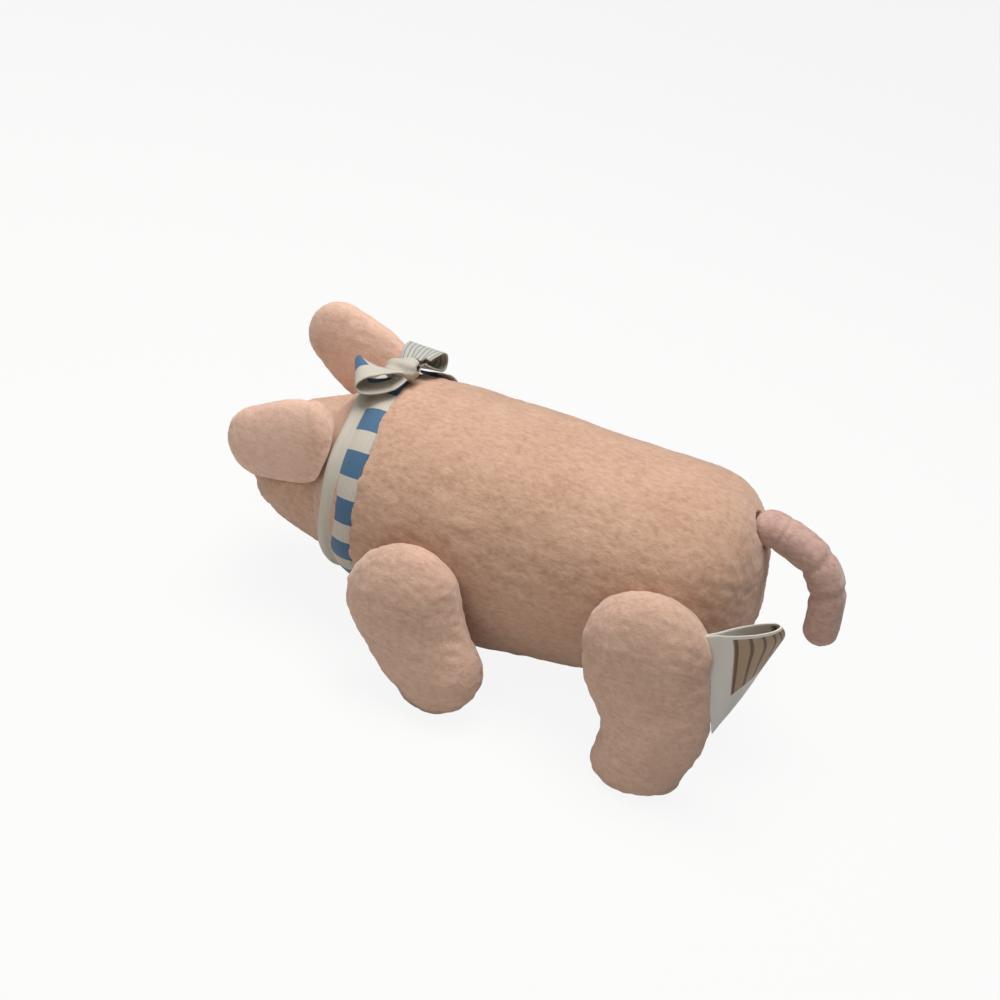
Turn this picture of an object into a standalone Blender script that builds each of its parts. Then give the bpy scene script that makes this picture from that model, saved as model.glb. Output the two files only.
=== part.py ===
"""Stuffed plush pig: thread-jointed legs, sewn ears and tail, ribbon bow at the neck, care label.

Metres, +Z up. The pig faces -Y, its left side is +X, and it stands on Z = 0. Its front legs are
the shorter ones, so the body slopes down towards the head.
"""

import math

import bmesh
import bpy
from mathutils import Matrix, Vector

# Cloth, ribbon and the room between neighbours
PLUSH = 0.0018
GAP = 0.0003
SOLE_CUT = 0.0005
OVERRUN = 0.004
SLIVER = 0.000001

# Body: a ball-shaped neck, shoulders, a barrel and a blunt rump, measured from the shoulders
BODY_SLOPE = math.radians(6.2)
BODY_RADIUS = 0.032
BARREL_LENGTH = 0.0533
BARREL_TAPER = 0.0034
RUMP_DEPTH = 0.0279
RUMP_BLUNTNESS_SHARE = 2.65
BELLY_SHARE = 0.14
NECK_RADIUS = 0.0298
NECK_AHEAD = 0.0135
NECK_RISE = 0.003
NECK_ARC = math.radians(80)
SHOULDER_LENGTH = 0.0223

# Head, measured from the nod pivot at the middle of the neck ball
HEAD_LENGTH = 0.0470
HEAD_RADIUS = 0.0240
SNOUT_RADIUS = 0.0078
SNOUT_STAND = 0.0020
SNOUT_SINK = 0.0040
NOSTRIL_RADIUS = 0.0012
NOSTRIL_SPREAD = 0.0060
NOSTRIL_THICK = 0.0009
EYE_RADIUS = 0.0027
EYE_DOME = 0.0017
EYE_STEM_RADIUS = 0.0009
EYE_AHEAD = 0.0400
EYE_TURN = math.radians(56)
WASHER_RADIUS = 0.0034
WASHER_THICK = 0.0010

# Ribbon: a collar on the neck ball, its front edge at this angle from the collar's axis, which
# tilts up from the neck's line, and a bow behind it
RIBBON_WIDTH = 0.011
RIBBON_THICK = 0.0005
COLLAR_FRONT = math.radians(54)
COLLAR_TILT = math.radians(3)
COLLAR_STAND = 0.0009
BOW_CONE = math.radians(76)
BOW_TURN = math.radians(3)
KNOT_RADIUS = 0.0034
KNOT_HEIGHT = 0.0052
LOOP_LENGTH = 0.0105
LOOP_HEIGHT = 0.0046

# Ears: pads hinged at their rear seam, their inner halves let into the head. One droops, one perks
EAR_LENGTH = 0.0323
EAR_WIDTH = 0.0225
EAR_THICK = 0.0102
LEFT_EAR_LIFT = math.radians(-15)
RIGHT_EAR_LIFT = math.radians(31)
EAR_AHEAD = 0.0170
EAR_ABOVE = 0.0170
EAR_OUT = 0.0203

# Legs: pads with a full round top, a flat inner face and a foot. The rear foot's end is flatter
LEG_OUTER = 0.0096
LEG_INNER = 0.0042
REAR_THIGH = 0.0166
REAR_SHIN = 0.03316
REAR_FOOT = 0.0120
REAR_TOE = -0.0026
REAR_SOLE_SHARE = 0.45
REAR_HIP_BACK = 0.0606
REAR_HIP_DROP = 0.0069
FRONT_THIGH = 0.01565
FRONT_FOOT = 0.0123
FRONT_TOE = -0.0104
FRONT_HIP_BACK = -0.0017
FRONT_HIP_DROP = 0.0102

# Hip threads: a shank through both cloths with a knot at each end
SHANK_RADIUS = 0.0008
STOP_RADIUS = 0.0024
STOP_THICK = 0.0010

# Tail: a stuffed tube that arches back and hangs down
TAIL_RADIUS = 0.0048
TAIL_SPAN = 0.0176
TAIL_FALL = 0.0236
TAIL_RISE = 0.0167
TAIL_STANDOFF = 0.0020

# Care label: woven tape folded in two in the rear seam of the left hind leg
LABEL_WIDTH = 0.025
LABEL_REACH = 0.0190
LABEL_TILT = math.radians(25)
LABEL_CURL = 0.0106
LABEL_SWEEP = 0.0061
LABEL_OPENING = 0.0056
LABEL_THICK = 0.0004
LABEL_RISE = 0.0100
LABEL_SLANT = 0.0056
LABEL_STAND = 0.0016

# Facets
BODY_RINGS, BODY_SIDES = 20, 18
HEAD_RINGS, HEAD_SIDES = 14, 16
LEG_RINGS, LEG_SIDES = 12, 12
EAR_RINGS, EAR_SIDES = 10, 10
TAIL_RINGS, TAIL_SIDES = 14, 8
TURN_STEPS = 12
CUTTER_STEPS = 24

LEFT = Vector((1, 0, 0))
BACK = Vector((0, math.cos(BODY_SLOPE), math.sin(BODY_SLOPE)))
UP = Vector((0, -math.sin(BODY_SLOPE), math.cos(BODY_SLOPE)))
AHEAD = -BACK

PINK = (0.66, 0.40, 0.29)
EAR_PINK = (0.62, 0.33, 0.23)
TAIL_PINK = (0.55, 0.33, 0.27)
STUFFING_WHITE = (0.85, 0.85, 0.82)
BLACK = (0.01, 0.01, 0.01)
CLEAR_GREY = (0.45, 0.45, 0.45)
THREAD_PINK = (0.55, 0.30, 0.22)
RIBBON_BLUE = (0.30, 0.42, 0.52)
LABEL_WHITE = (0.75, 0.74, 0.70)


def clear_scene():
    for old in list(bpy.data.objects):
        bpy.data.objects.remove(old, do_unlink=True)


def collection(name):
    made = bpy.data.collections.new(name)
    bpy.context.scene.collection.children.link(made)
    return made


clear_scene()
PARTS = collection("plush_pig")
CUTTERS = collection("cutters")
CUTTERS.hide_render = True


def finish(name, colour, roughness):
    material = bpy.data.materials.new(name)
    material.use_nodes = True
    shader = material.node_tree.nodes["Principled BSDF"]
    shader.inputs["Base Color"].default_value = (*colour, 1)
    shader.inputs["Roughness"].default_value = roughness
    return material


def place_of(joint):
    """Where an unturned empty stands in the world, before the pig is centred."""
    place = joint.location.copy()
    while joint.parent:
        joint = joint.parent
        place += joint.location
    return place


def empty(name, place, parent=None):
    made = bpy.data.objects.new(name, None)
    made.empty_display_size = PLUSH
    made.parent = parent
    made.location = place - place_of(parent) if parent else place
    PARTS.objects.link(made)
    return made


def add(name, mesh, joint, colour, roughness=0.9):
    """An object made of a mesh in world places, hung from the empty on its joint."""
    mesh.transform(Matrix.Translation(-place_of(joint)))
    mesh.materials.append(finish(name, colour, roughness))
    mesh.shade_smooth()
    made = bpy.data.objects.new(name, mesh)
    made.parent = joint
    PARTS.objects.link(made)
    return made


def mesh_of(form, name):
    """The form as a mesh. Nested forms split their faces alike, so that they stay a gap apart."""
    bmesh.ops.triangulate(form, faces=form.faces, quad_method="SHORT_EDGE")
    mesh = bpy.data.meshes.new(name)
    form.to_mesh(mesh)
    form.free()
    return mesh


def facing_out(form):
    """Turns a closed form's faces outwards."""
    if form.calc_volume(signed=True) < 0:
        bmesh.ops.reverse_faces(form, faces=form.faces)
    return form


def skin(loops):
    """A closed form over loops of places, the first and the last of which are drawn to points."""
    form = bmesh.new()
    rows = [[form.verts.new(place) for place in loop] for loop in loops]
    for row, onward in zip(rows, rows[1:]):
        for step in range(len(row)):
            form.faces.new((row[step], row[step - 1], onward[step - 1], onward[step]))
    bmesh.ops.remove_doubles(form, verts=form.verts[:], dist=SLIVER)
    return facing_out(form)


def shaped_ball(rings, sides, place):
    """A form whose points are place(along, around), along running from pole to pole."""
    turns = [2 * math.pi * step / sides for step in range(sides)]
    return skin([[place(ring / rings, turn) for turn in turns] for ring in range(rings + 1)])


def panel(name, point, rings, sides, side, off_seam, joint, colour):
    """The cloth on one side of a seam: its section runs round the outside and back inside.

    The point at (along, around, inset) is on the form, or inside it by the inset.
    """
    turns = [side * 2 * math.pi * step / sides for step in range(sides // 2 + 1)]
    section = [(turn, 0.0) for turn in turns] + [(turn, PLUSH) for turn in reversed(turns)]
    aside = off_seam * GAP / 2
    form = skin(
        [point(ring / rings, turn, inset) + aside for turn, inset in section]
        for ring in range(rings + 1)
    )
    return add(name, mesh_of(form, name), joint, colour)


pig = empty("pig", Vector((0, 0, 0)))


def cutter(name, form):
    made = bpy.data.objects.new(name, mesh_of(facing_out(form), name))
    made.hide_render = True
    made.display_type = "WIRE"
    made.parent = pig
    CUTTERS.objects.link(made)
    return made


def cut(made, *cutters):
    for tool in cutters:
        boolean = made.modifiers.new(tool.name, "BOOLEAN")
        boolean.operation = "DIFFERENCE"
        boolean.solver = "EXACT"
        boolean.object = tool


def ball(centre, radius):
    """A ball whose flat facets, and not only its corners, lie at least a radius out."""
    facet_share = math.cos(math.pi / CUTTER_STEPS) ** 2
    form = bmesh.new()
    bmesh.ops.create_uvsphere(
        form,
        u_segments=CUTTER_STEPS,
        v_segments=CUTTER_STEPS // 2,
        radius=radius / facet_share,
        matrix=Matrix.Translation(centre),
    )
    return form


def rod(start, end, radius):
    """A round bar whose flat facets lie a radius from its axis."""
    form = bmesh.new()
    run = end - start
    turn = run.to_track_quat("Z", "Y").to_matrix().to_4x4()
    facet_share = math.cos(math.pi / TURN_STEPS)
    bmesh.ops.create_cone(
        form,
        cap_ends=True,
        segments=TURN_STEPS,
        radius1=radius / facet_share,
        radius2=radius / facet_share,
        depth=run.length,
        matrix=Matrix.Translation((start + end) / 2) @ turn,
    )
    return form


def turned(name, profile, place, axis, joint, colour, roughness=0.5, steps=TURN_STEPS, ring=False):
    """A profile of (radius, height) points, from top to bottom, turned about an axis."""
    line = bmesh.new()
    verts = [line.verts.new((radius, 0, height)) for radius, height in profile]
    onward = verts[1:] + verts[:1] if ring else verts[1:]
    for first, second in zip(verts, onward):
        line.edges.new((first, second))
    mesh = mesh_of(line, name)
    mesh.materials.append(finish(name, colour, roughness))
    made = bpy.data.objects.new(name, mesh)
    made.parent = joint
    made.location = place - place_of(joint)
    made.rotation_mode = "QUATERNION"
    made.rotation_quaternion = axis.to_track_quat("Z", "Y")
    turn = made.modifiers.new("turn", "SCREW")
    turn.steps = turn.render_steps = steps
    turn.use_merge_vertices = True
    turn.merge_threshold = SLIVER
    turn.use_smooth_shade = True
    PARTS.objects.link(made)
    return made


def band(name, path, far_path, thickness, joint, colour):
    """A flat tape between two edges, each a list of world places."""
    form = bmesh.new()
    verts = [form.verts.new(spot) for spot in path]
    edges = [form.edges.new(pair) for pair in zip(verts, verts[1:])]
    swept = bmesh.ops.extrude_edge_only(form, edges=edges)["geom"]
    for vert in (made for made in swept if isinstance(made, bmesh.types.BMVert)):
        nearest = min(range(len(path)), key=lambda step: (path[step] - vert.co).length)
        vert.co = far_path[nearest]
    made = add(name, mesh_of(form, name), joint, colour)
    wall = made.modifiers.new("tape", "SOLIDIFY")
    wall.thickness = thickness
    wall.offset = 0
    return made


def smooth_between(points, share):
    """A point of the smooth curve through the points, share running from 0 to 1."""
    last = len(points) - 1
    step = min(int(share * last), last - 1)
    t = share * last - step
    row = [points[max(step - 1, 0)], points[step], points[step + 1], points[min(step + 2, last)]]
    return [
        (2 * b + (c - a) * t + (2 * a - 5 * b + 4 * c - d) * t**2 + (3 * b - a - 3 * c + d) * t**3) / 2
        for a, b, c, d in zip(*row)
    ]


def frame_of(side, ahead, above, origin):
    frame = Matrix((side, ahead, above)).transposed().to_4x4()
    frame.translation = origin
    return frame


class Pad:
    """A stuffed form along a chain of stations (ahead, above, half-height, half-width).

    The frame turns (side, ahead, above) into the world. Both ends close in a round cap, whose
    length is a share of the end's half-height. The inner value is the half-width towards -side,
    where the form is flatter and fuller. The sections lie square to the chain, or where a run
    is given, square to that.
    """

    CAP_SHARE = 0.28
    RUN_STEP_SHARE = 0.28
    FULL_SHARE = 0.6

    def __init__(self, frame, stations, rings, sides, caps=(1, 1), inner=None, run=None):
        self.frame = frame
        self.stations = stations
        self.rings = rings
        self.sides = sides
        self.caps = caps
        self.inner = inner
        self.run = run

    def run_at(self, share):
        if self.run:
            return self.run
        ahead, above = smooth_between(self.stations, max(share - self.RUN_STEP_SHARE, 0))[:2]
        onward, higher = smooth_between(self.stations, min(share + self.RUN_STEP_SHARE, 1))[:2]
        return Vector((0, onward - ahead, higher - above)).normalized()

    def point(self, along, around, inset=0.0):
        """A point of the surface, or of one that lies inside it by the inset."""
        if along < self.CAP_SHARE:
            share, angle = 0.0, along / self.CAP_SHARE * math.pi / 2
            push = -self.caps[0] * math.cos(angle)
        elif along > 1 - self.CAP_SHARE:
            share, angle = 1.0, (1 - along) / self.CAP_SHARE * math.pi / 2
            push = self.caps[1] * math.cos(angle)
        else:
            share, angle, push = (along - self.CAP_SHARE) / (1 - 2 * self.CAP_SHARE), math.pi / 2, 0
        ahead, above, high, wide = smooth_between(self.stations, share)
        run = self.run_at(share)
        across = Vector((0, -run.z, run.y))
        sine = math.sin(around)
        depth = wide - inset
        if sine < 0 and self.inner:
            depth = self.inner - inset
            sine = -((-sine) ** self.FULL_SHARE)
        high -= inset
        spot = Vector((depth * sine * math.sin(angle), ahead, above)) + run * high * push
        spot += across * high * math.cos(around) * math.sin(angle)
        return self.frame @ spot

    def form(self, inset=0.0):
        return shaped_ball(
            self.rings, self.sides, lambda along, around: self.point(along, around, inset)
        )

    def cover(self, name, side, joint, colour):
        """The cloth on one side of the seam: side is 1 or -1."""
        across = self.frame.col[0].to_3d() * side
        return panel(name, self.point, self.rings, self.sides, side, across, joint, colour)

    def stuffing(self, name, joint):
        return add(name, mesh_of(self.form(PLUSH + GAP), name), joint, STUFFING_WHITE)


# The hips' height over the floor sets the height of the shoulders, and with it the front legs


def over_floor(back, up):
    """How much a step back and up, along the sloping body, rises."""
    return back * BACK.z + up * UP.z


HIP_HEIGHT = REAR_FOOT * REAR_SOLE_SHARE - SOLE_CUT - over_floor(-REAR_TOE, -REAR_SHIN)
SHOULDERS = Vector((0, 0, HIP_HEIGHT - over_floor(REAR_HIP_BACK, -REAR_HIP_DROP)))
FRONT_HIP_HEIGHT = SHOULDERS.z + over_floor(FRONT_HIP_BACK, -FRONT_HIP_DROP)
FRONT_SHIN = (FRONT_HIP_HEIGHT + SOLE_CUT - FRONT_FOOT + over_floor(-FRONT_TOE, 0)) / UP.z
PIVOT = SHOULDERS + AHEAD * NECK_AHEAD + UP * NECK_RISE

torso = empty("torso", SHOULDERS, pig)
head = empty("head", PIVOT, torso)


# Body: two plush side panels sewn along the back and belly, with stuffing inside

NECK_SHARE = 0.30
SHOULDER_SHARE = 0.46
BARREL_SHARE = 0.66


def shoulder_start(inset=0.0):
    """Where the neck ball hands over to the shoulders: its place back and its radius."""
    neck = NECK_RADIUS - inset
    return -NECK_AHEAD - neck * math.cos(NECK_ARC), neck * math.sin(NECK_ARC)


def body_radius(back, inset=0.0):
    """The body's radius at a place behind the shoulders, or ahead of them if negative."""
    radius = BODY_RADIUS - inset
    start, first = shoulder_start(inset)
    end = start + SHOULDER_LENGTH
    if back < start:
        ahead = (back + NECK_AHEAD) / (NECK_RADIUS - inset)
        return (NECK_RADIUS - inset) * math.sqrt(max(1 - ahead**2, 0))
    if back < end:
        run = (back - start) / SHOULDER_LENGTH
        return first + (radius - first) * (2 * run - run**2)
    if back < BARREL_LENGTH:
        run = (back - end) / (BARREL_LENGTH - end)
        return radius - BARREL_TAPER * (1 - math.cos(math.pi * run)) / 2
    run = min((back - BARREL_LENGTH) / (RUMP_DEPTH - inset), 1)
    power = RUMP_BLUNTNESS_SHARE
    return (radius - BARREL_TAPER) * (1 - run**power) ** (1 / power)


def body_back(along, inset=0.0):
    """How far behind the shoulders the body's surface is, along running from pole to pole."""
    start = shoulder_start(inset)[0]
    end = start + SHOULDER_LENGTH
    if along < NECK_SHARE:
        return -NECK_AHEAD - (NECK_RADIUS - inset) * math.cos(along / NECK_SHARE * NECK_ARC)
    if along < SHOULDER_SHARE:
        return start + SHOULDER_LENGTH * (along - NECK_SHARE) / (SHOULDER_SHARE - NECK_SHARE)
    if along < BARREL_SHARE:
        run = (along - SHOULDER_SHARE) / (BARREL_SHARE - SHOULDER_SHARE)
        return end + (BARREL_LENGTH - end) * run
    angle = (along - BARREL_SHARE) / (1 - BARREL_SHARE) * math.pi / 2
    return BARREL_LENGTH + (RUMP_DEPTH - inset) * math.sin(angle) ** (2 / RUMP_BLUNTNESS_SHARE)


def body_point(along, around, inset=0.0):
    back = body_back(along, inset)
    radius = body_radius(back, inset)
    past_neck = max(0, min(1, (along - NECK_SHARE) / (SHOULDER_SHARE - NECK_SHARE)))
    high = radius * math.cos(around)
    if high < 0:
        high *= 1 + BELLY_SHARE * past_neck
    high += NECK_RISE * (1 - past_neck)
    return SHOULDERS + LEFT * radius * math.sin(around) + BACK * back + UP * high


body_covers = {}
for side_name, side in (("left", 1), ("right", -1)):
    body_covers[side] = panel(
        "body_cover_" + side_name,
        body_point,
        BODY_RINGS,
        BODY_SIDES,
        side,
        LEFT * side,
        torso,
        PINK,
    )
wadding = shaped_ball(
    BODY_RINGS, BODY_SIDES, lambda along, around: body_point(along, around, PLUSH + GAP)
)
body_stuffing = add("body_stuffing", mesh_of(wadding, "body_stuffing"), torso, STUFFING_WHITE)


# Head: two plush panels with stuffing, hollowed at the back to ride on the neck ball

# Stations as shares of the head's length and radius
HEAD_STATION_SHARES = (
    (0.240, -0.04, 0.93, 0.93),
    (0.430, -0.05, 0.90, 0.90),
    (0.609, -0.07, 0.82, 0.83),
    (0.777, -0.08, 0.71, 0.72),
    (0.888, -0.09, 0.585, 0.60),
)
HEAD_BACK_SHARE = 0.2
HEAD_END_SHARE = 0.37

head_pad = Pad(
    frame_of(LEFT, AHEAD, UP, PIVOT),
    [
        (HEAD_LENGTH * ahead, HEAD_RADIUS * above, HEAD_RADIUS * high, HEAD_RADIUS * wide)
        for ahead, above, high, wide in HEAD_STATION_SHARES
    ],
    HEAD_RINGS,
    HEAD_SIDES,
    caps=(HEAD_BACK_SHARE, HEAD_END_SHARE),
)
neck_hollow = cutter("neck_hollow", ball(PIVOT, NECK_RADIUS + GAP))
head_covers = {
    1: head_pad.cover("head_cover_left", 1, head, PINK),
    -1: head_pad.cover("head_cover_right", -1, head, PINK),
}
head_stuffing = head_pad.stuffing("head_stuffing", head)
for made in (*head_covers.values(), head_stuffing):
    cut(made, neck_hollow)


# Snout: a round pad sewn on the front of the face, with two embroidered nostrils let into it

SNOUT_EDGE_SHARE = 0.35
SNOUT_SHOULDER_SHARE = 0.85

snout_middle = PIVOT + AHEAD * HEAD_LENGTH + UP * HEAD_RADIUS * HEAD_STATION_SHARES[-1][1]
snout = turned(
    "snout",
    [
        (0, SNOUT_STAND),
        (SNOUT_RADIUS * SNOUT_SHOULDER_SHARE, SNOUT_STAND),
        (SNOUT_RADIUS, SNOUT_STAND * SNOUT_EDGE_SHARE),
        (SNOUT_RADIUS, -SNOUT_SINK),
        (0, -SNOUT_SINK),
    ],
    snout_middle,
    AHEAD,
    head,
    EAR_PINK,
    0.9,
    CUTTER_STEPS,
)
cut(snout, cutter("face", head_pad.form(-GAP)))
for side_name, side in (("left", 1), ("right", -1)):
    spot = snout_middle + LEFT * side * NOSTRIL_SPREAD / 2 + AHEAD * SNOUT_STAND
    turned(
        "nostril_" + side_name,
        [(0, 0), (NOSTRIL_RADIUS, 0), (NOSTRIL_RADIUS, -NOSTRIL_THICK), (0, -NOSTRIL_THICK)],
        spot,
        AHEAD,
        head,
        BLACK,
        0.9,
    )
    recess = rod(spot + BACK * (NOSTRIL_THICK + GAP), spot + AHEAD * OVERRUN, NOSTRIL_RADIUS + GAP)
    cut(snout, cutter("nostril_recess_" + side_name, recess))


# Eyes: plastic domes on stems through the cloth, each held by a washer inside

EYE_DOME_SHARES = ((0.55, 0.84), (0.86, 0.52), (1.00, 0.12))
EYE_SEAT = 3 * GAP
WASHER_DEPTH = EYE_SEAT + PLUSH + 4 * GAP
STEM_LENGTH = WASHER_DEPTH + WASHER_THICK + GAP


def head_surface(ahead, turn):
    """A place on the head's surface and the way out of it, turned from straight up."""
    stations = head_pad.stations

    def girth(share):
        return smooth_between(stations, share)

    low, high = 0.0, 1.0
    while high - low > SLIVER:
        middle = (low + high) / 2
        if girth(middle)[0] < ahead:
            low = middle
        else:
            high = middle
    reach, above, tall, wide = girth(low)
    step = Pad.RUN_STEP_SHARE
    before, after = girth(max(low - step, 0)), girth(min(low + step, 1))
    narrowing = (before[2] - after[2]) / (after[0] - before[0])
    spot = PIVOT + AHEAD * reach + UP * (above + tall * math.cos(turn))
    out = UP * math.cos(turn) + AHEAD * narrowing
    return spot, out, wide * math.sin(turn), math.sin(turn)


for side_name, side in (("left", 1), ("right", -1)):
    spot, out, aside, outward = head_surface(EYE_AHEAD, EYE_TURN)
    spot = spot + LEFT * side * aside
    out = (out + LEFT * side * outward).normalized()
    seat = spot + out * EYE_SEAT
    turned(
        "eye_" + side_name,
        [
            (0, EYE_DOME),
            *((EYE_RADIUS * girth, EYE_DOME * height) for girth, height in EYE_DOME_SHARES),
            (EYE_RADIUS, 0),
            (EYE_STEM_RADIUS, 0),
            (EYE_STEM_RADIUS, -STEM_LENGTH),
            (0, -STEM_LENGTH),
        ],
        seat,
        out,
        head,
        BLACK,
        0.15,
    )
    turned(
        "eye_washer_" + side_name,
        [
            (WASHER_RADIUS, -WASHER_DEPTH),
            (WASHER_RADIUS, -WASHER_DEPTH - WASHER_THICK),
            (EYE_STEM_RADIUS + GAP, -WASHER_DEPTH - WASHER_THICK),
            (EYE_STEM_RADIUS + GAP, -WASHER_DEPTH),
        ],
        seat,
        out,
        head,
        CLEAR_GREY,
        0.4,
        ring=True,
    )
    deep = seat - out * (STEM_LENGTH + GAP)
    cut(head_covers[side], cutter("eye_hole_" + side_name, rod(deep, seat, EYE_STEM_RADIUS + GAP)))
    pocket = rod(deep, spot, WASHER_RADIUS + GAP)
    cut(head_stuffing, cutter("washer_pocket_" + side_name, pocket))


# Ribbon: one length round the neck, drawn into a knot with two loops and two short ends

COLLAR_STEPS = 4
COLLAR_SIDES = 28


def collar_profile():
    """The collar's section over the neck ball, from its rear inner corner round to its rear."""
    inner = NECK_RADIUS + COLLAR_STAND
    outer = inner + RIBBON_THICK
    arc = RIBBON_WIDTH / NECK_RADIUS
    turns = [COLLAR_FRONT + arc * step / COLLAR_STEPS for step in range(COLLAR_STEPS + 1)]
    outside = [(outer * math.sin(turn), outer * math.cos(turn)) for turn in turns]
    inside = [(inner * math.sin(turn), inner * math.cos(turn)) for turn in reversed(turns)]
    return outside + inside


collar_axis = AHEAD * math.cos(COLLAR_TILT) + UP * math.sin(COLLAR_TILT)
turned(
    "ribbon_collar",
    collar_profile(),
    PIVOT,
    collar_axis,
    head,
    RIBBON_BLUE,
    0.8,
    COLLAR_SIDES,
    ring=True,
)

COLLAR_RADIUS = NECK_RADIUS + COLLAR_STAND + RIBBON_THICK


def neck_place(turn, cone, height):
    """A place over the neck ball: turned from the top to the left, and opened from the front."""
    outward = UP * math.cos(turn) + LEFT * math.sin(turn)
    way = AHEAD * math.cos(cone) + outward * math.sin(cone)
    return PIVOT + way * (NECK_RADIUS + height)


knot_base = neck_place(BOW_TURN, BOW_CONE, COLLAR_RADIUS - NECK_RADIUS + GAP)
knot_way = (knot_base - PIVOT).normalized()
knot_along = LEFT * math.cos(BOW_TURN) - UP * math.sin(BOW_TURN)
knot_forward = knot_way.cross(knot_along)
knot_forward *= math.copysign(1, knot_forward.dot(AHEAD))


def bow_place(aside, forward, height):
    """A place by the knot: aside along the collar to the left, forward, and off the neck."""
    return knot_base + knot_along * aside + knot_forward * forward + knot_way * height


KNOT_RINGS, KNOT_SIDES = 8, 10
knot_form = shaped_ball(
    KNOT_RINGS,
    KNOT_SIDES,
    lambda along, around: bow_place(
        KNOT_RADIUS * math.sin(along * math.pi) * math.sin(around),
        RIBBON_WIDTH / 2 * math.cos(along * math.pi),
        KNOT_HEIGHT / 2 * (1 + math.sin(along * math.pi) * math.cos(around)),
    ),
)
add("ribbon_knot", mesh_of(knot_form, "ribbon_knot"), head, RIBBON_BLUE, 0.8)

# Loops as (along, height) shares of a loop's length and height, out and back
LOOP_SHARES = (
    (0.00, 0.62),
    (0.22, 0.86),
    (0.50, 1.10),
    (0.80, 1.12),
    (0.97, 0.84),
    (1.00, 0.50),
    (0.90, 0.20),
    (0.62, 0.06),
    (0.30, 0.12),
    (0.00, 0.30),
)
LOOP_GATHER_SHARE = 0.5
LOOP_OPEN_SHARE = 0.4


def bow_loop(name, start, along, up, last_width):
    """A loop of ribbon, gathered beside the knot, that runs along and back and turns as it opens."""

    def edge(side):
        places = []
        for run, rise in LOOP_SHARES:
            gathered = max(1 - run / LOOP_OPEN_SHARE, 0) * (1 - LOOP_GATHER_SHARE)
            width = (knot_forward * (1 - run) + last_width * run).normalized()
            spot = start + along * LOOP_LENGTH * run + up * LOOP_HEIGHT * rise
            places.append(spot + width * side * RIBBON_WIDTH / 2 * (1 - gathered))
        return places

    band(name, edge(-1), edge(1), RIBBON_THICK, head, RIBBON_BLUE)


# The right loop hangs out beside the knot. The left one falls ahead between the ears
KNOT_CLEAR = KNOT_RADIUS + 2 * GAP
RIGHT_LOOP_FALL = math.radians(12)
RIGHT_LOOP_STAND = 0.0007
RIGHT_LOOP_BACK = 0.0012
RIGHT_LOOP_LEAN = math.radians(10)
LEFT_LOOP_TURN = math.radians(64)
LEFT_LOOP_FALL_SHARE = 0.12
LEFT_LOOP_LEAN = math.radians(12)
bow_loop(
    "ribbon_loop_right",
    bow_place(GAP - KNOT_CLEAR, -RIGHT_LOOP_BACK, RIGHT_LOOP_STAND),
    -UP * math.sin(RIGHT_LOOP_FALL) - LEFT * math.cos(RIGHT_LOOP_FALL),
    UP * math.cos(RIGHT_LOOP_FALL) - LEFT * math.sin(RIGHT_LOOP_FALL),
    AHEAD * math.cos(RIGHT_LOOP_LEAN) + UP * math.sin(RIGHT_LOOP_LEAN),
)
left_run = LEFT * math.cos(LEFT_LOOP_TURN) + AHEAD * math.sin(LEFT_LOOP_TURN)
left_across = AHEAD * math.cos(LEFT_LOOP_TURN) - LEFT * math.sin(LEFT_LOOP_TURN)
bow_loop(
    "ribbon_loop_left",
    bow_place(KNOT_CLEAR, 0, 0),
    (left_run - UP * LEFT_LOOP_FALL_SHARE).normalized(),
    knot_way,
    left_across * math.cos(LEFT_LOOP_LEAN) + UP * math.sin(LEFT_LOOP_LEAN),
)

# Ends: one lies back beside the shoulders, the other down the right side, behind the collar
END_STEPS = 4
END_HEIGHT = 0.0011
END_BACK = (math.radians(79.2), math.radians(89.5))
END_BACK_TURNS = (math.radians(-24), math.radians(-45))
END_SIDE = (math.radians(-49), math.radians(-77))
END_SIDE_CONES = (math.radians(77.5), math.radians(94))
END_SIDE_HEIGHT = 0.0013


def between(pair, share):
    return pair[0] + (pair[1] - pair[0]) * share


end_steps = [step / END_STEPS for step in range(END_STEPS + 1)]
band(
    "ribbon_end_back",
    [neck_place(END_BACK_TURNS[0], between(END_BACK, share), END_HEIGHT) for share in end_steps],
    [neck_place(END_BACK_TURNS[1], between(END_BACK, share), END_HEIGHT) for share in end_steps],
    RIBBON_THICK,
    head,
    RIBBON_BLUE,
)
band(
    "ribbon_end_side",
    [
        neck_place(between(END_SIDE, share), END_SIDE_CONES[0], END_SIDE_HEIGHT)
        for share in end_steps
    ],
    [
        neck_place(between(END_SIDE, share), END_SIDE_CONES[1], END_SIDE_HEIGHT)
        for share in end_steps
    ],
    RIBBON_THICK,
    head,
    RIBBON_BLUE,
)


# Ears: a plush back and a lining over thin wadding, sewn to the head at the rear end

EAR_STATION_SHARES = (
    (0.16, 0.0, 1.00, 0.94),
    (0.36, 0.0, 1.04, 1.00),
    (0.56, 0.0, 0.98, 0.98),
    (0.69, 0.0, 0.90, 0.90),
)
EAR_TIP_SHARE = 0.99


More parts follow.
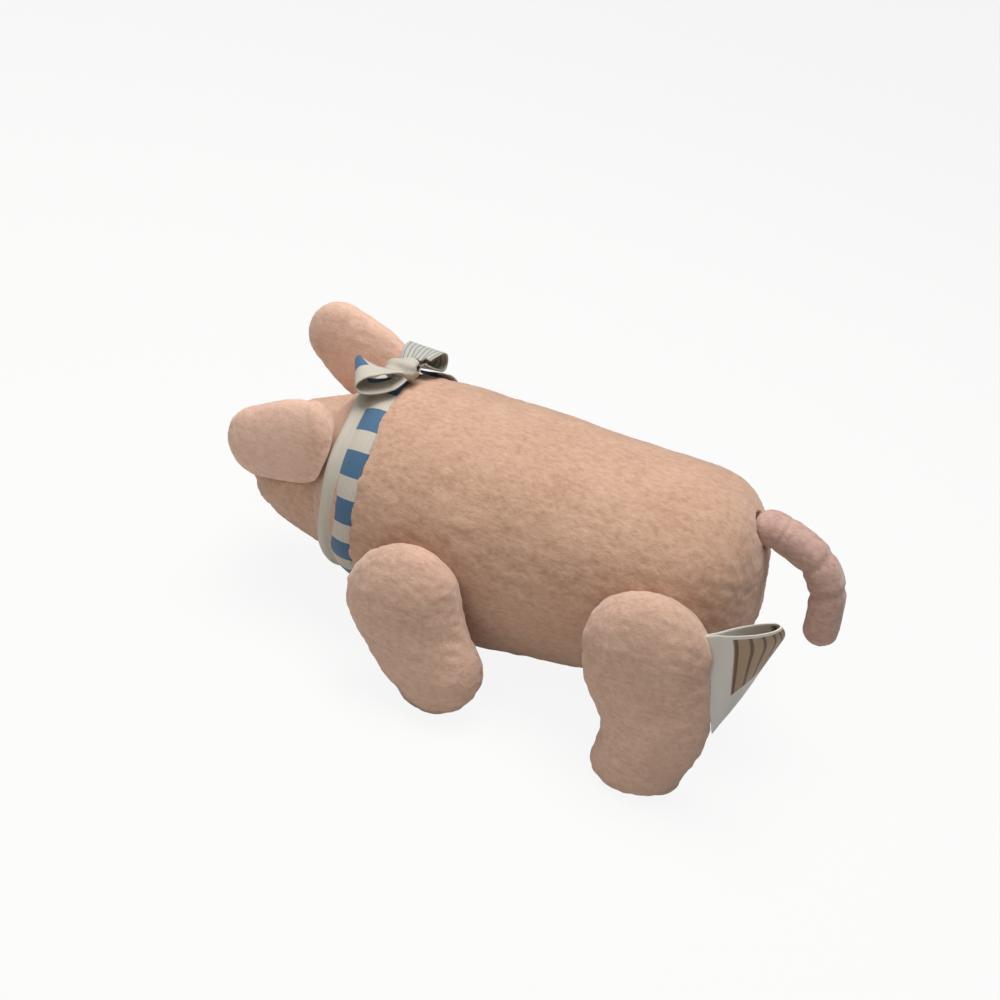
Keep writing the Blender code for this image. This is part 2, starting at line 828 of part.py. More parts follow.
def build_ear(side_name, side, lift):
    """Builds an ear and gives the hinge's place and its axis, which opens the ear outwards."""
    base = PIVOT + LEFT * side * EAR_OUT + AHEAD * EAR_AHEAD + UP * EAR_ABOVE
    ahead = AHEAD * math.cos(lift) + UP * math.sin(lift)
    above = UP * math.cos(lift) - AHEAD * math.sin(lift)
    pad = Pad(
        frame_of(LEFT * side, ahead, above, base),
        [
            (EAR_LENGTH * run, EAR_WIDTH * rise, EAR_WIDTH / 2 * high, EAR_THICK / 2 * wide)
            for run, rise, high, wide in EAR_STATION_SHARES
        ],
        EAR_RINGS,
        EAR_SIDES,
        caps=(EAR_THICK / EAR_WIDTH, EAR_TIP_SHARE),
    )
    joint = empty("ear_" + side_name, base, head)
    pieces = (
        pad.cover("ear_cover_" + side_name, 1, joint, EAR_PINK),
        pad.cover("ear_lining_" + side_name, -1, joint, EAR_PINK),
        pad.stuffing("ear_wadding_" + side_name, joint),
    )
    for made in pieces:
        cut(made, collar_room)
    dimple = cutter("ear_dimple_" + side_name, pad.form(-GAP))
    cut(head_covers[side], dimple)
    cut(head_stuffing, dimple)
    return above * side


collar_room = cutter("collar_room", ball(PIVOT, COLLAR_RADIUS + GAP))
ear_axes = {
    "left": build_ear("left", 1, LEFT_EAR_LIFT),
    "right": build_ear("right", -1, RIGHT_EAR_LIFT),
}


# Legs: an outer and an inner plush panel over stuffing, tacked to the body at the hip

REAR_STATION_SHARES = ((0.0, 0.0, 1.0), (-0.13, -0.335, 0.975), (-0.29, -0.64, 0.81))
FRONT_STATION_SHARES = ((0.0, 0.0, 1.0), (-0.36, -0.66, 0.86))
# The way that each leg's sections are stacked, ahead and above
REAR_RUN = Vector((0, 0, -1))
FRONT_RUN = Vector((0, FRONT_TOE, -FRONT_SHIN)).normalized()


def floor_block():
    form = bmesh.new()
    length = BARREL_LENGTH + RUMP_DEPTH + HEAD_LENGTH
    bmesh.ops.create_cube(form, size=1)
    bmesh.ops.scale(form, verts=form.verts, vec=(4 * BODY_RADIUS, 2 * length, OVERRUN))
    bmesh.ops.translate(form, verts=form.verts, vec=(0, 0, -OVERRUN / 2))
    return form


floor = cutter("floor", floor_block())


def build_leg(name, hip, side, stations, sole_share, run):
    pad = Pad(
        frame_of(LEFT * side, AHEAD, UP, hip),
        [(ahead, above, high, LEG_OUTER) for ahead, above, high in stations],
        LEG_RINGS,
        LEG_SIDES,
        caps=(1, sole_share),
        inner=LEG_INNER,
        run=run,
    )
    joint = empty("leg_" + name, hip, torso)
    outer = pad.cover("leg_outer_" + name, 1, joint, PINK)
    inner = pad.cover("leg_inner_" + name, -1, joint, PINK)
    stuffing = pad.stuffing("leg_stuffing_" + name, joint)
    cut(outer, floor)
    cut(inner, floor)
    return joint, inner, stuffing


def hip_thread(name, hip_back, drop, side, leg_face, inner, leg_stuffing):
    """A thread along the leg's axis, knotted inside the leg and inside the body."""
    wall = body_radius(hip_back) - PLUSH - 2 * GAP
    slope = drop / wall
    knot_inside = math.sqrt(wall**2 - drop**2) - 2 * STOP_RADIUS * slope
    knot_outside = leg_face + PLUSH + 2 * GAP
    out = LEFT * side
    middle = SHOULDERS + BACK * hip_back - UP * drop
    turned(
        "hip_thread_" + name,
        [
            (0, knot_outside + STOP_THICK),
            (STOP_RADIUS, knot_outside + STOP_THICK),
            (STOP_RADIUS, knot_outside),
            (SHANK_RADIUS, knot_outside),
            (SHANK_RADIUS, knot_inside),
            (STOP_RADIUS, knot_inside),
            (STOP_RADIUS, knot_inside - STOP_THICK),
            (0, knot_inside - STOP_THICK),
        ],
        middle,
        out,
        torso,
        THREAD_PINK,
    )
    inside = middle + out * (knot_inside - STOP_THICK - GAP)
    outside = middle + out * (knot_outside + STOP_THICK + GAP)
    hole = cutter("thread_hole_" + name, rod(inside, outside, SHANK_RADIUS + GAP))
    pocket = cutter("knot_pocket_" + name, rod(inside, outside, STOP_RADIUS + GAP))
    cut(body_covers[side], hole)
    cut(inner, hole)
    cut(body_stuffing, pocket)
    cut(leg_stuffing, pocket)


# One row an end: name, thigh, shin, foot, toe, hip place, stations, sole's share and run
LEG_ENDS = (
    (
        "rear",
        (REAR_THIGH, REAR_SHIN, REAR_FOOT, REAR_TOE),
        (REAR_HIP_BACK, REAR_HIP_DROP),
        REAR_STATION_SHARES,
        REAR_SOLE_SHARE,
        REAR_RUN,
    ),
    (
        "front",
        (FRONT_THIGH, FRONT_SHIN, FRONT_FOOT, FRONT_TOE),
        (FRONT_HIP_BACK, FRONT_HIP_DROP),
        FRONT_STATION_SHARES,
        1,
        FRONT_RUN,
    ),
)
leg_joints = {}
for end_name, (thigh, shin, foot, toe), (hip_back, drop), shares, sole_share, run in LEG_ENDS:
    widest = max(body_radius(hip_back - thigh), body_radius(hip_back + thigh))
    leg_face = max(widest, body_radius(hip_back)) + GAP
    stations = [(thigh * ahead, shin * above, thigh * high) for ahead, above, high in shares]
    stations.append((toe, -shin, foot))
    for side_name, side in (("left", 1), ("right", -1)):
        name = end_name + "_" + side_name
        hip = SHOULDERS + LEFT * side * (leg_face + LEG_INNER) + BACK * hip_back - UP * drop
        joint, inner, stuffing = build_leg(name, hip, side, stations, sole_share, run)
        leg_joints[name] = joint
        hip_thread(name, hip_back, drop, side, leg_face, inner, stuffing)


# Care label: a folded tape whose two ends are caught in the rear seam of the left hind leg

# The fold seen from above: (share of the reach, share of the opening)
LABEL_SHARES = (
    (0.00, 0.10),
    (0.30, 0.36),
    (0.65, 0.50),
    (0.90, 0.40),
    (1.00, 0.14),
    (1.00, -0.14),
    (0.90, -0.40),
    (0.65, -0.50),
    (0.30, -0.36),
    (0.00, -0.10),
)

label_joint = leg_joints["rear_left"]
label_back = math.sqrt(REAR_THIGH**2 - LABEL_RISE**2) + LABEL_STAND
label_top = place_of(label_joint) + BACK * label_back + UP * LABEL_RISE
seam_fall = math.sqrt(LABEL_WIDTH**2 - LABEL_SLANT**2)
label_low = label_top + BACK * LABEL_SLANT - UP * seam_fall
label_out = BACK * math.cos(LABEL_TILT) + UP * math.sin(LABEL_TILT)
fold_fall = math.sqrt(LABEL_WIDTH**2 - LABEL_CURL**2 - LABEL_SWEEP**2)
fold_top = label_top + label_out * LABEL_REACH
fold_low = fold_top - BACK * LABEL_SWEEP - LEFT * LABEL_CURL - UP * fold_fall


def label_edge(seam, fold):
    return [seam.lerp(fold, run) + LEFT * LABEL_OPENING * open_ for run, open_ in LABEL_SHARES]


band(
    "care_label",
    label_edge(label_top, fold_top),
    label_edge(label_low, fold_low),
    LABEL_THICK,
    label_joint,
    LABEL_WHITE,
)


# Tail: a stuffed tube whose round base sits in a dimple of the rump

TAIL_STATION_SHARES = (
    (0.00, 0.00, 1.00),
    (0.29, -0.06, 1.00),
    (0.72, -0.25, 1.02),
    (0.96, -0.55, 1.02),
    (1.00, -1.00, 1.00),
)


def rump_point(rise):
    """The place and the outward direction of the rump's mid-line at a height above the shoulders."""
    rear_radius = BODY_RADIUS - BARREL_TAPER
    power = RUMP_BLUNTNESS_SHARE
    share = rise / rear_radius
    back = (1 - share**power) ** (1 / power)
    steep = BACK * (back ** (power - 1) / RUMP_DEPTH) + UP * (share ** (power - 1) / rear_radius)
    spot = SHOULDERS + BACK * (BARREL_LENGTH + RUMP_DEPTH * back) + UP * rise
    return spot, steep.normalized()


rump, outward = rump_point(TAIL_RISE)
tail_base = rump + outward * TAIL_STANDOFF
tail_pad = Pad(
    frame_of(LEFT, BACK, UP, tail_base),
    [
        (TAIL_SPAN * ahead, TAIL_FALL * above, TAIL_RADIUS * girth, TAIL_RADIUS * girth)
        for ahead, above, girth in TAIL_STATION_SHARES
    ],
    TAIL_RINGS,
    TAIL_SIDES,
)
tail = empty("tail", tail_base, torso)
tail_socket = cutter("tail_socket", ball(tail_base, TAIL_RADIUS + GAP))
for made in (body_covers[1], body_covers[-1], body_stuffing):
    cut(made, tail_socket)
for side_name, side in (("left", 1), ("right", -1)):
    tail_pad.cover("tail_cover_" + side_name, side, tail, TAIL_PINK)
tail_pad.stuffing("tail_stuffing", tail)


def reach_along_y():
    """The foremost and rearmost places of the whole pig."""
    bpy.context.view_layer.update()
    graph = bpy.context.evaluated_depsgraph_get()
    places = []
    for made in PARTS.objects:
        if made.type == "MESH":
            evaluated = made.evaluated_get(graph)
            corners = (evaluated.matrix_world @ Vector(corner) for corner in evaluated.bound_box)
            places += [corner.y for corner in corners]
    return min(places), max(places)


# The pig is centred over the origin along Y
pig.location.y = -sum(reach_along_y()) / 2
bpy.context.view_layer.update()
for joint in (torso, head, tail, *leg_joints.values()):
    print(joint.name, [round(place, 5) for place in joint.matrix_world.translation])
for side_name, axis in ear_axes.items():
    place = bpy.data.objects["ear_" + side_name].matrix_world.translation
    print("ear", side_name, [round(value, 5) for value in (*place, *axis)])
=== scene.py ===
"""Stuffed plush pig: pile, ribbon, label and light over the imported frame. Metres, facing -Y, left +X."""

import math

import bmesh
import bpy
from mathutils import Matrix, Vector, noise
from mathutils.bvhtree import BVHTree


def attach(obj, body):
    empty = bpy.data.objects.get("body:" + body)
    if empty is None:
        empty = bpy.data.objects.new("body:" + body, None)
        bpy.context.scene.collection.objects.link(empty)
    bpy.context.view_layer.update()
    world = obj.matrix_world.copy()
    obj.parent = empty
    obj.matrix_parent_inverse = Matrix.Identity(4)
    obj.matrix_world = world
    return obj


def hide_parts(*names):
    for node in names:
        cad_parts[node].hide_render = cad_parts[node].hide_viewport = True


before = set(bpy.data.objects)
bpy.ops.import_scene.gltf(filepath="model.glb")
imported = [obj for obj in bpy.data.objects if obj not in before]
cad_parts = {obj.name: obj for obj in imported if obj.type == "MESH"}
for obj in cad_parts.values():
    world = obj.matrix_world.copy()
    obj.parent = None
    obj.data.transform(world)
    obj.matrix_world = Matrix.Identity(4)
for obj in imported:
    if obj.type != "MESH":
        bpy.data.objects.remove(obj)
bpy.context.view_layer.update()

# Studio: a white sweep of paper under and behind the pig, a wide soft lamp overhead and a
# weak one from the camera's side. The camera looks down on the pig's left side from behind.
CAMERA_TURN = math.radians(103.5794)
CAMERA_RISE = math.radians(28.589)
CAMERA_ROLL = math.radians(14.185)
CAMERA_AWAY = 0.400038
CAMERA_TARGET = Vector((0, -0.011691, 0.043954))
PICTURE_SIDE, FOCAL_PIXELS, SENSOR_MM = 1000, 1500, 36.0

away = Vector(
    (
        math.sin(CAMERA_TURN) * math.cos(CAMERA_RISE),
        -math.cos(CAMERA_TURN) * math.cos(CAMERA_RISE),
        math.sin(CAMERA_RISE),
    )
)
level = Vector((math.cos(CAMERA_TURN), math.sin(CAMERA_TURN), 0))
right = level * math.cos(CAMERA_ROLL) + away.cross(level) * math.sin(CAMERA_ROLL)
lens = bpy.data.cameras.new("camera")
lens.sensor_width = SENSOR_MM
lens.lens = SENSOR_MM * FOCAL_PIXELS / PICTURE_SIDE
lens.clip_start = 0.01
camera = bpy.data.objects.new("camera", lens)
camera.matrix_world = Matrix.Translation(CAMERA_TARGET + away * CAMERA_AWAY) @ Matrix(
    (right, away.cross(right), away)
).transposed().to_4x4()
bpy.context.scene.collection.objects.link(camera)
bpy.context.scene.camera = camera
bpy.context.scene.view_settings.view_transform = "Standard"


def linear(code):
    """A colour written as sRGB hex, as the linear values that a shader takes."""
    parts = [int(code[place : place + 2], 16) / 255 for place in (1, 3, 5)]
    lit = [part / 12.92 if part < 0.04045 else ((part + 0.055) / 1.055) ** 2.4 for part in parts]
    return (*lit, 1)


def add_node(tree, kind, links=(), **settings):
    """Adds a shader node. A setting names an attribute or an input, and a link is a pair of an
    output and the name or the number of the input that it feeds."""
    node = tree.nodes.new(kind)
    for name, value in settings.items():
        if hasattr(node, name):
            setattr(node, name, value)
        else:
            node.inputs[name.replace("_", " ")].default_value = value
    for output, socket in links:
        tree.links.new(output, node.inputs[socket])
    return node


def new_material(name):
    """A new material and its node tree, emptied."""
    made = bpy.data.materials.new(name)
    made.use_nodes = True
    made.node_tree.nodes.clear()
    return made, made.node_tree


def seen_white(tree, light, share):
    """Mixes a share of plain white into a stage shader where the camera, a gloss or glass sees it."""
    path = add_node(tree, "ShaderNodeLightPath")
    seen = path.outputs["Is Camera Ray"]
    for ray in ("Is Glossy Ray", "Is Transmission Ray"):
        rays = [(seen, 0), (path.outputs[ray], 1)]
        seen = add_node(tree, "ShaderNodeMath", rays, operation="ADD", use_clamp=True).outputs[0]
    part = add_node(tree, "ShaderNodeMath", [(seen, 0)], operation="MULTIPLY")
    part.inputs[1].default_value = share
    white = add_node(tree, "ShaderNodeEmission", Color=(1, 1, 1, 1), Strength=1.0)
    return add_node(
        tree, "ShaderNodeMixShader", [(part.outputs[0], "Fac"), (light, 1), (white.outputs[0], 2)]
    ).outputs[0]


PAPER_SIDE, PAPER_WHITE_SHARE = 6.0, 0.9
paper, tree = new_material("matt_white_paper")
matt = add_node(tree, "ShaderNodeBsdfDiffuse", Color=linear("#d8d6d2"))
surface = seen_white(tree, matt.outputs[0], PAPER_WHITE_SHARE)
add_node(tree, "ShaderNodeOutputMaterial", [(surface, "Surface")])
sweep = bmesh.new()
bmesh.ops.create_grid(sweep, x_segments=1, y_segments=1, size=PAPER_SIDE / 2)
floor_mesh = bpy.data.meshes.new("floor")
sweep.to_mesh(floor_mesh)
sweep.free()
floor_mesh.materials.append(paper)
floor = bpy.data.objects.new("floor", floor_mesh)
bpy.context.scene.collection.objects.link(floor)

world = bpy.data.worlds.new("white_room")
bpy.context.scene.world = world
world.use_nodes = True
world.node_tree.nodes.clear()
tree = world.node_tree
room = add_node(tree, "ShaderNodeBackground", Color=linear("#e9eef2"), Strength=0.1)
white_room = add_node(tree, "ShaderNodeBackground", Color=(1, 1, 1, 1), Strength=1.0)
path = add_node(tree, "ShaderNodeLightPath")
mix = add_node(
    tree,
    "ShaderNodeMixShader",
    [(path.outputs["Is Camera Ray"], "Fac"), (room.outputs[0], 1), (white_room.outputs[0], 2)],
)
add_node(tree, "ShaderNodeOutputWorld", [(mix.outputs[0], "Surface")])


def lamp(name, place, aim, size, power, tint):
    """A square soft lamp of a size in metres and a power in watts, turned to its aim."""
    light = bpy.data.lights.new(name, "AREA")
    light.size = size
    light.energy = power
    light.color = linear(tint)[:3]
    made = bpy.data.objects.new(name, light)
    made.location = place
    made.rotation_euler = (Vector(aim) - Vector(place)).to_track_quat("-Z", "Y").to_euler()
    bpy.context.scene.collection.objects.link(made)


lamp("overhead_lamp", (-0.02, -0.06, 0.75), (0, 0, 0.04), 0.45, 5.7, "#fffcfa")
lamp("side_lamp", (0.50, -0.15, 0.55), (0, 0, 0.05), 0.40, 0.9, "#fffcfa")


# Body: two side panels of short polyester plush, sewn right sides together along the back and
# the belly, turned and stuffed firm. The pile hides the seam but for a shallow line.
SLOPE = math.radians(6.2)
LEFT = Vector((1, 0, 0))
BACK = Vector((0, math.cos(SLOPE), math.sin(SLOPE)))
UP = Vector((0, -math.sin(SLOPE), math.cos(SLOPE)))
AHEAD = -BACK
SHOULDERS = Vector((0, -0.01977, 0.0379))
NECK = Vector((0, -0.03352, 0.03942))
BODY_RADIUS, BARREL_LENGTH, BARREL_TAPER = 0.032, 0.0533, 0.0034
RUMP_DEPTH, RUMP_POWER, BELLY_SHARE = 0.0279, 2.65, 0.14
NECK_RADIUS, NECK_AHEAD, NECK_RISE, NECK_ARC = 0.0298, 0.0135, 0.003, math.radians(80)
SHOULDER_LENGTH = 0.0223
# Shares of the mesh's way from the front pole to the rear one at which each stretch ends
NECK_SHARE, SHOULDER_SHARE, BARREL_SHARE = 0.30, 0.46, 0.66
NECK_EDGE = NECK_RADIUS * math.sin(NECK_ARC)
SHOULDER_START = -NECK_AHEAD - NECK_RADIUS * math.cos(NECK_ARC)
SHOULDER_END = SHOULDER_START + SHOULDER_LENGTH
SEAM_DEPTH, SEAM_HALF_WIDTH = 0.0004, 0.0012
LUMP_SIZE, LUMP_HEIGHT = 0.014, 0.0005
TUFT_SIZE, TUFT_HEIGHT = 0.0018, 0.00014
# The tufts' noise: how fast its finer layers fade, how much finer each is and how many there are
TUFT_FADE, TUFT_FINER, TUFT_LAYERS = 0.9, 2.1, 3
CLUMP_SIZE, CLUMP_HEIGHT, CLUMP_LOSS_ON_TOP = Vector((0.0024, 0.0042, 0.0024)), 0.0004, 0.8


def body_radius(back):
    """The body's radius, its distance back from the shoulders given."""
    if back < SHOULDER_START:
        return math.sqrt(max(NECK_RADIUS**2 - (back + NECK_AHEAD) ** 2, 0))
    if back < SHOULDER_END:
        run = (back - SHOULDER_START) / SHOULDER_LENGTH
        return NECK_EDGE + (BODY_RADIUS - NECK_EDGE) * (2 * run - run**2)
    if back < BARREL_LENGTH:
        run = (back - SHOULDER_END) / (BARREL_LENGTH - SHOULDER_END)
        return BODY_RADIUS - BARREL_TAPER * (1 - math.cos(math.pi * run)) / 2
    run = min((back - BARREL_LENGTH) / RUMP_DEPTH, 1)
    return (BODY_RADIUS - BARREL_TAPER) * (1 - run**RUMP_POWER) ** (1 / RUMP_POWER)


def body_back(along):
    """The distance back from the shoulders of a share of the way from pole to pole."""
    if along < NECK_SHARE:
        return -NECK_AHEAD - NECK_RADIUS * math.cos(along / NECK_SHARE * NECK_ARC)
    if along < SHOULDER_SHARE:
        run = (along - NECK_SHARE) / (SHOULDER_SHARE - NECK_SHARE)
        return SHOULDER_START + SHOULDER_LENGTH * run
    if along < BARREL_SHARE:
        run = (along - SHOULDER_SHARE) / (BARREL_SHARE - SHOULDER_SHARE)
        return SHOULDER_END + (BARREL_LENGTH - SHOULDER_END) * run
    angle = (along - BARREL_SHARE) / (1 - BARREL_SHARE) * math.pi / 2
    return BARREL_LENGTH + RUMP_DEPTH * math.sin(angle) ** (2 / RUMP_POWER)


def body_point(along, around):
    """A place on the body, around running from the top to the left. The neck rides a little
    high and the belly hangs."""
    back = body_back(along)
    radius = body_radius(back)
    past_neck = max(0, min(1, (along - NECK_SHARE) / (SHOULDER_SHARE - NECK_SHARE)))
    high = radius * math.cos(around)
    if high < 0:
        high *= 1 + BELLY_SHARE * past_neck
    high += NECK_RISE * (1 - past_neck)
    return SHOULDERS + LEFT * radius * math.sin(around) + BACK * back + UP * high


def shaped_ball(rings, sides, place):
    """A ball drawn onto place(along, around), along running from pole to pole."""
    form = bmesh.new()
    bmesh.ops.create_uvsphere(form, u_segments=sides, v_segments=rings, radius=1)
    for vert in form.verts:
        along = math.acos(max(-1, min(1, vert.co.z))) / math.pi
        vert.co = place(along, math.atan2(vert.co.y, vert.co.x))
    if form.calc_volume(signed=True) < 0:
        bmesh.ops.reverse_faces(form, faces=form.faces)
    return form


def pile_over(form, seam_place, seam_across, lump=LUMP_HEIGHT, seed=0.0):
    """Sinks the seam line into a form and raises the stuffing's lumps and the pile's tufts.

    The pile lies smooth where it faces up and stands in clumps, long along the nap, elsewhere.
    """
    form.normal_update()
    moves = []
    for vert in form.verts:
        off_seam = (vert.co - seam_place).dot(seam_across)
        seam = math.exp(-((off_seam / SEAM_HALF_WIDTH) ** 2))
        spot = vert.co + Vector((seed, 0, 0))
        raised = noise.noise(spot / LUMP_SIZE) * lump
        tuft = noise.fractal(spot / TUFT_SIZE, TUFT_FADE, TUFT_FINER, TUFT_LAYERS)
        raised += tuft * TUFT_HEIGHT
        ruffled = 1 - CLUMP_LOSS_ON_TOP * max(vert.normal.z, 0)
        clump = Vector(part / size for part, size in zip(spot, CLUMP_SIZE))
        raised += noise.noise(clump) * CLUMP_HEIGHT * ruffled * lump / LUMP_HEIGHT
        moves.append(vert.normal * (raised - SEAM_DEPTH * seam))
    for vert, move in zip(form.verts, moves):
        vert.co += move


def dressed(name, form, material, body, *nodes):
    """Makes a form a piece of the object that moves with a body and stands for CAD nodes."""
    mesh = bpy.data.meshes.new(name)
    form.to_mesh(mesh)
    form.free()
    mesh.materials.append(material)
    mesh.shade_smooth()
    made = bpy.data.objects.new(name, mesh)
    bpy.context.scene.collection.objects.link(made)
    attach(made, body)
    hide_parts(*nodes)
    return made


def plush(name, light, base, dark):
    """Polyester plush: cut pile about 2 mm long, matt, combed back along the body, that parts
    into darker and lighter flecks where the tufts lean apart."""
    made, tree = new_material(name)
    place = add_node(tree, "ShaderNodeTexCoord").outputs["Object"]
    # The flecks are about 1 mm across and 2 mm along the nap
    combed = add_node(tree, "ShaderNodeMapping", [(place, "Vector")], Scale=(1.0, 0.5, 1.0))
    flecks = add_node(
        tree,
        "ShaderNodeTexNoise",
        [(combed.outputs[0], "Vector")],
        Scale=1 / 0.001,
        Detail=5.0,
        Roughness=0.62,
    )
    # Broad brushed areas, about 10 mm across
    areas = add_node(
        tree, "ShaderNodeTexNoise", [(place, "Vector")], Scale=1 / 0.010, Detail=3.0, Roughness=0.55
    )
    both = add_node(
        tree,
        "ShaderNodeMix",
        [(flecks.outputs["Fac"], 2), (areas.outputs["Fac"], 3)],
        data_type="FLOAT",
        Factor=0.3,
    )
    ramp = add_node(tree, "ShaderNodeValToRGB", [(both.outputs[0], "Fac")])
    ramp.color_ramp.elements[0].position = 0.34
    ramp.color_ramp.elements[0].color = linear(dark)
    ramp.color_ramp.elements[1].position = 0.68
    ramp.color_ramp.elements[1].color = linear(light)
    ramp.color_ramp.elements.new(0.50).color = linear(base)
    # Single fibre ends, drawn 0.4 mm apart so that they show
    fibres = add_node(
        tree,
        "ShaderNodeTexNoise",
        [(combed.outputs[0], "Vector")],
        Scale=1 / 0.0004,
        Detail=3.0,
        Roughness=0.7,
    )
    bump = add_node(
        tree,
        "ShaderNodeBump",
        [(fibres.outputs["Fac"], "Height")],
        Strength=0.45,
        Distance=0.0004,
    )
    shader = add_node(
        tree,
        "ShaderNodeBsdfPrincipled",
        [(ramp.outputs["Color"], "Base Color"), (bump.outputs[0], "Normal")],
        Roughness=0.95,
        Specular_IOR_Level=0.15,
        Sheen_Weight=0.45,
        Sheen_Roughness=0.6,
        Sheen_Tint=linear("#fff6f0"),
    )
    add_node(tree, "ShaderNodeOutputMaterial", [(shader.outputs[0], "Surface")])
    return made


# The gap left round a piece that is sewn into another
SEWN_ROOM = 0.0004


def let_in(host, guest, way):
    """Sinks a host form's points that lie inside a guest form, the given way, until clear of it."""
    tree = BVHTree.FromBMesh(guest)
    for vert in host.verts:
        spot, facing = tree.ray_cast(vert.co, way)[:2]
        if spot is not None and facing.dot(way) > 0:
            vert.co = spot + way * SEWN_ROOM


# The tail's base sits in a dimple of the rump, with room around it to lift
TAIL_BASE = Vector((0, 0.05812, 0.06403))
TAIL_RADIUS, TAIL_ROOM, TAIL_INWARD = 0.0048, 0.0007, Vector((0, -0.8, -0.6))
body_plush = plush("combed_pink_plush", "#dab69f", "#cda58b", "#bb9279")
body_form = shaped_ball(200, 200, body_point)
pile_over(body_form, SHOULDERS, LEFT)
tail_root = bmesh.new()
bmesh.ops.create_uvsphere(
    tail_root,
    u_segments=48,
    v_segments=24,
    radius=TAIL_RADIUS + TAIL_ROOM,
    matrix=Matrix.Translation(TAIL_BASE),
)
let_in(body_form, tail_root, TAIL_INWARD)
tail_root.free()
body = dressed("body_plush", body_form, body_plush, "torso", "body_cover_left", "body_cover_right")


# Head: two plush panels, the seam down the brow and chin, drawn in behind by the ribbon. The
# muzzle narrows to a flat snout.
HEAD_LENGTH, HEAD_RADIUS, HEAD_ROOM, HEAD_EASE = 0.0470, 0.0240, 0.0010, 0.0001
# Each station: how far ahead as a share of the length, then as shares of the radius its rise,
# its half-height and its half-width
HEAD_STATION_SHARES = (
    (0.240, -0.04, 0.93, 0.93),
    (0.430, -0.05, 0.90, 0.90),
    (0.609, -0.07, 0.82, 0.83),
    (0.777, -0.08, 0.71, 0.72),
    (0.888, -0.09, 0.585, 0.60),
)
HEAD_BACK_SHARE, HEAD_END_SHARE = 0.2, 0.37
# A pad's round ends each take the cap's share of its mesh, and its way is read over the step's
# share. The full power squares up the inner side of a leg.
CAP_SHARE, RUN_STEP_SHARE, FULL_POWER = 0.28, 0.28, 0.6


def smooth_between(points, share):
    """A point of the Catmull-Rom curve through the points, share running from 0 to 1."""
    last = len(points) - 1
    step = min(int(share * last), last - 1)
    t = share * last - step
    row = [points[max(step - 1, 0)], points[step], points[step + 1], points[min(step + 2, last)]]
    return [
        (2 * b + (c - a) * t + (2 * a - 5 * b + 4 * c - d) * t**2 + (3 * b - a - 3 * c + d) * t**3) / 2
        for a, b, c, d in zip(*row)
    ]


def pad_point(side, ahead, above, origin, stations, caps=(1, 1), inner=None, square_to=None):
    """Gives place(along, around) on a pad that follows stations and closes in round ends.

    A station is how far ahead, how far above, the half-height and the half-width. Its sections
    lie square to the chain of stations, or to a way given as (ahead, above). The caps are the
    ends' lengths as shares of the half-height there, and inner is the half-width away from side.
    """

    def place(along, around):
        if along < CAP_SHARE:
            share, angle = 0.0, along / CAP_SHARE * math.pi / 2
            push = -caps[0] * math.cos(angle)
        elif along > 1 - CAP_SHARE:
            share, angle = 1.0, (1 - along) / CAP_SHARE * math.pi / 2
            push = caps[1] * math.cos(angle)
        else:
            share, angle, push = (along - CAP_SHARE) / (1 - 2 * CAP_SHARE), math.pi / 2, 0
        reach, rise, high, wide = smooth_between(stations, share)
        before = smooth_between(stations, max(share - RUN_STEP_SHARE, 0))
        after = smooth_between(stations, min(share + RUN_STEP_SHARE, 1))
        run = square_to or Vector((after[0] - before[0], after[1] - before[1])).normalized()
        sine = math.sin(around)
        if sine < 0 and inner:
            wide = inner
            sine = -((-sine) ** FULL_POWER)
        reach += run.x * high * push - run.y * high * math.cos(around) * math.sin(angle)
        rise += run.y * high * push + run.x * high * math.cos(around) * math.sin(angle)
        return origin + side * wide * sine * math.sin(angle) + ahead * reach + above * rise

    return place


head_stations = [
    (HEAD_LENGTH * reach, HEAD_RADIUS * above, HEAD_RADIUS * high, HEAD_RADIUS * wide)
    for reach, above, high, wide in HEAD_STATION_SHARES
]
head_place = pad_point(
    LEFT, AHEAD, UP, NECK, head_stations, caps=(HEAD_BACK_SHARE, HEAD_END_SHARE)
)
head_form = shaped_ball(150, 150, head_place)
pile_over(head_form, NECK, LEFT, seed=0.3)


EASE_REACH = 6


def clear_of_neck(form, room, ease):
    """Pushes a form's points out of a ball that lies over the neck by the room.

    The ease is how softly the hollow's edge is rounded, which is nothing beyond its reach.
    """
    for vert in form.verts:
        off = vert.co - NECK
        beyond = (off.length - NECK_RADIUS - room) / ease
        if beyond < EASE_REACH:
            clear = NECK_RADIUS + room + ease * math.log1p(math.exp(beyond))
            vert.co = NECK + off.normalized() * clear


# Ears: a plush back and lining sewn round the edge over thin wadding, turned and closed into
# the head by the rear seam. The left one droops and the right one stands up.
EAR_LENGTH, EAR_WIDTH, EAR_THICK = 0.0323, 0.0225, 0.0102
EAR_AHEAD, EAR_ABOVE, EAR_OUT = 0.0170, 0.0170, 0.0203
EAR_ROOM, EAR_EASE, EAR_TIP_SHARE = 0.0030, 0.0009, 0.99
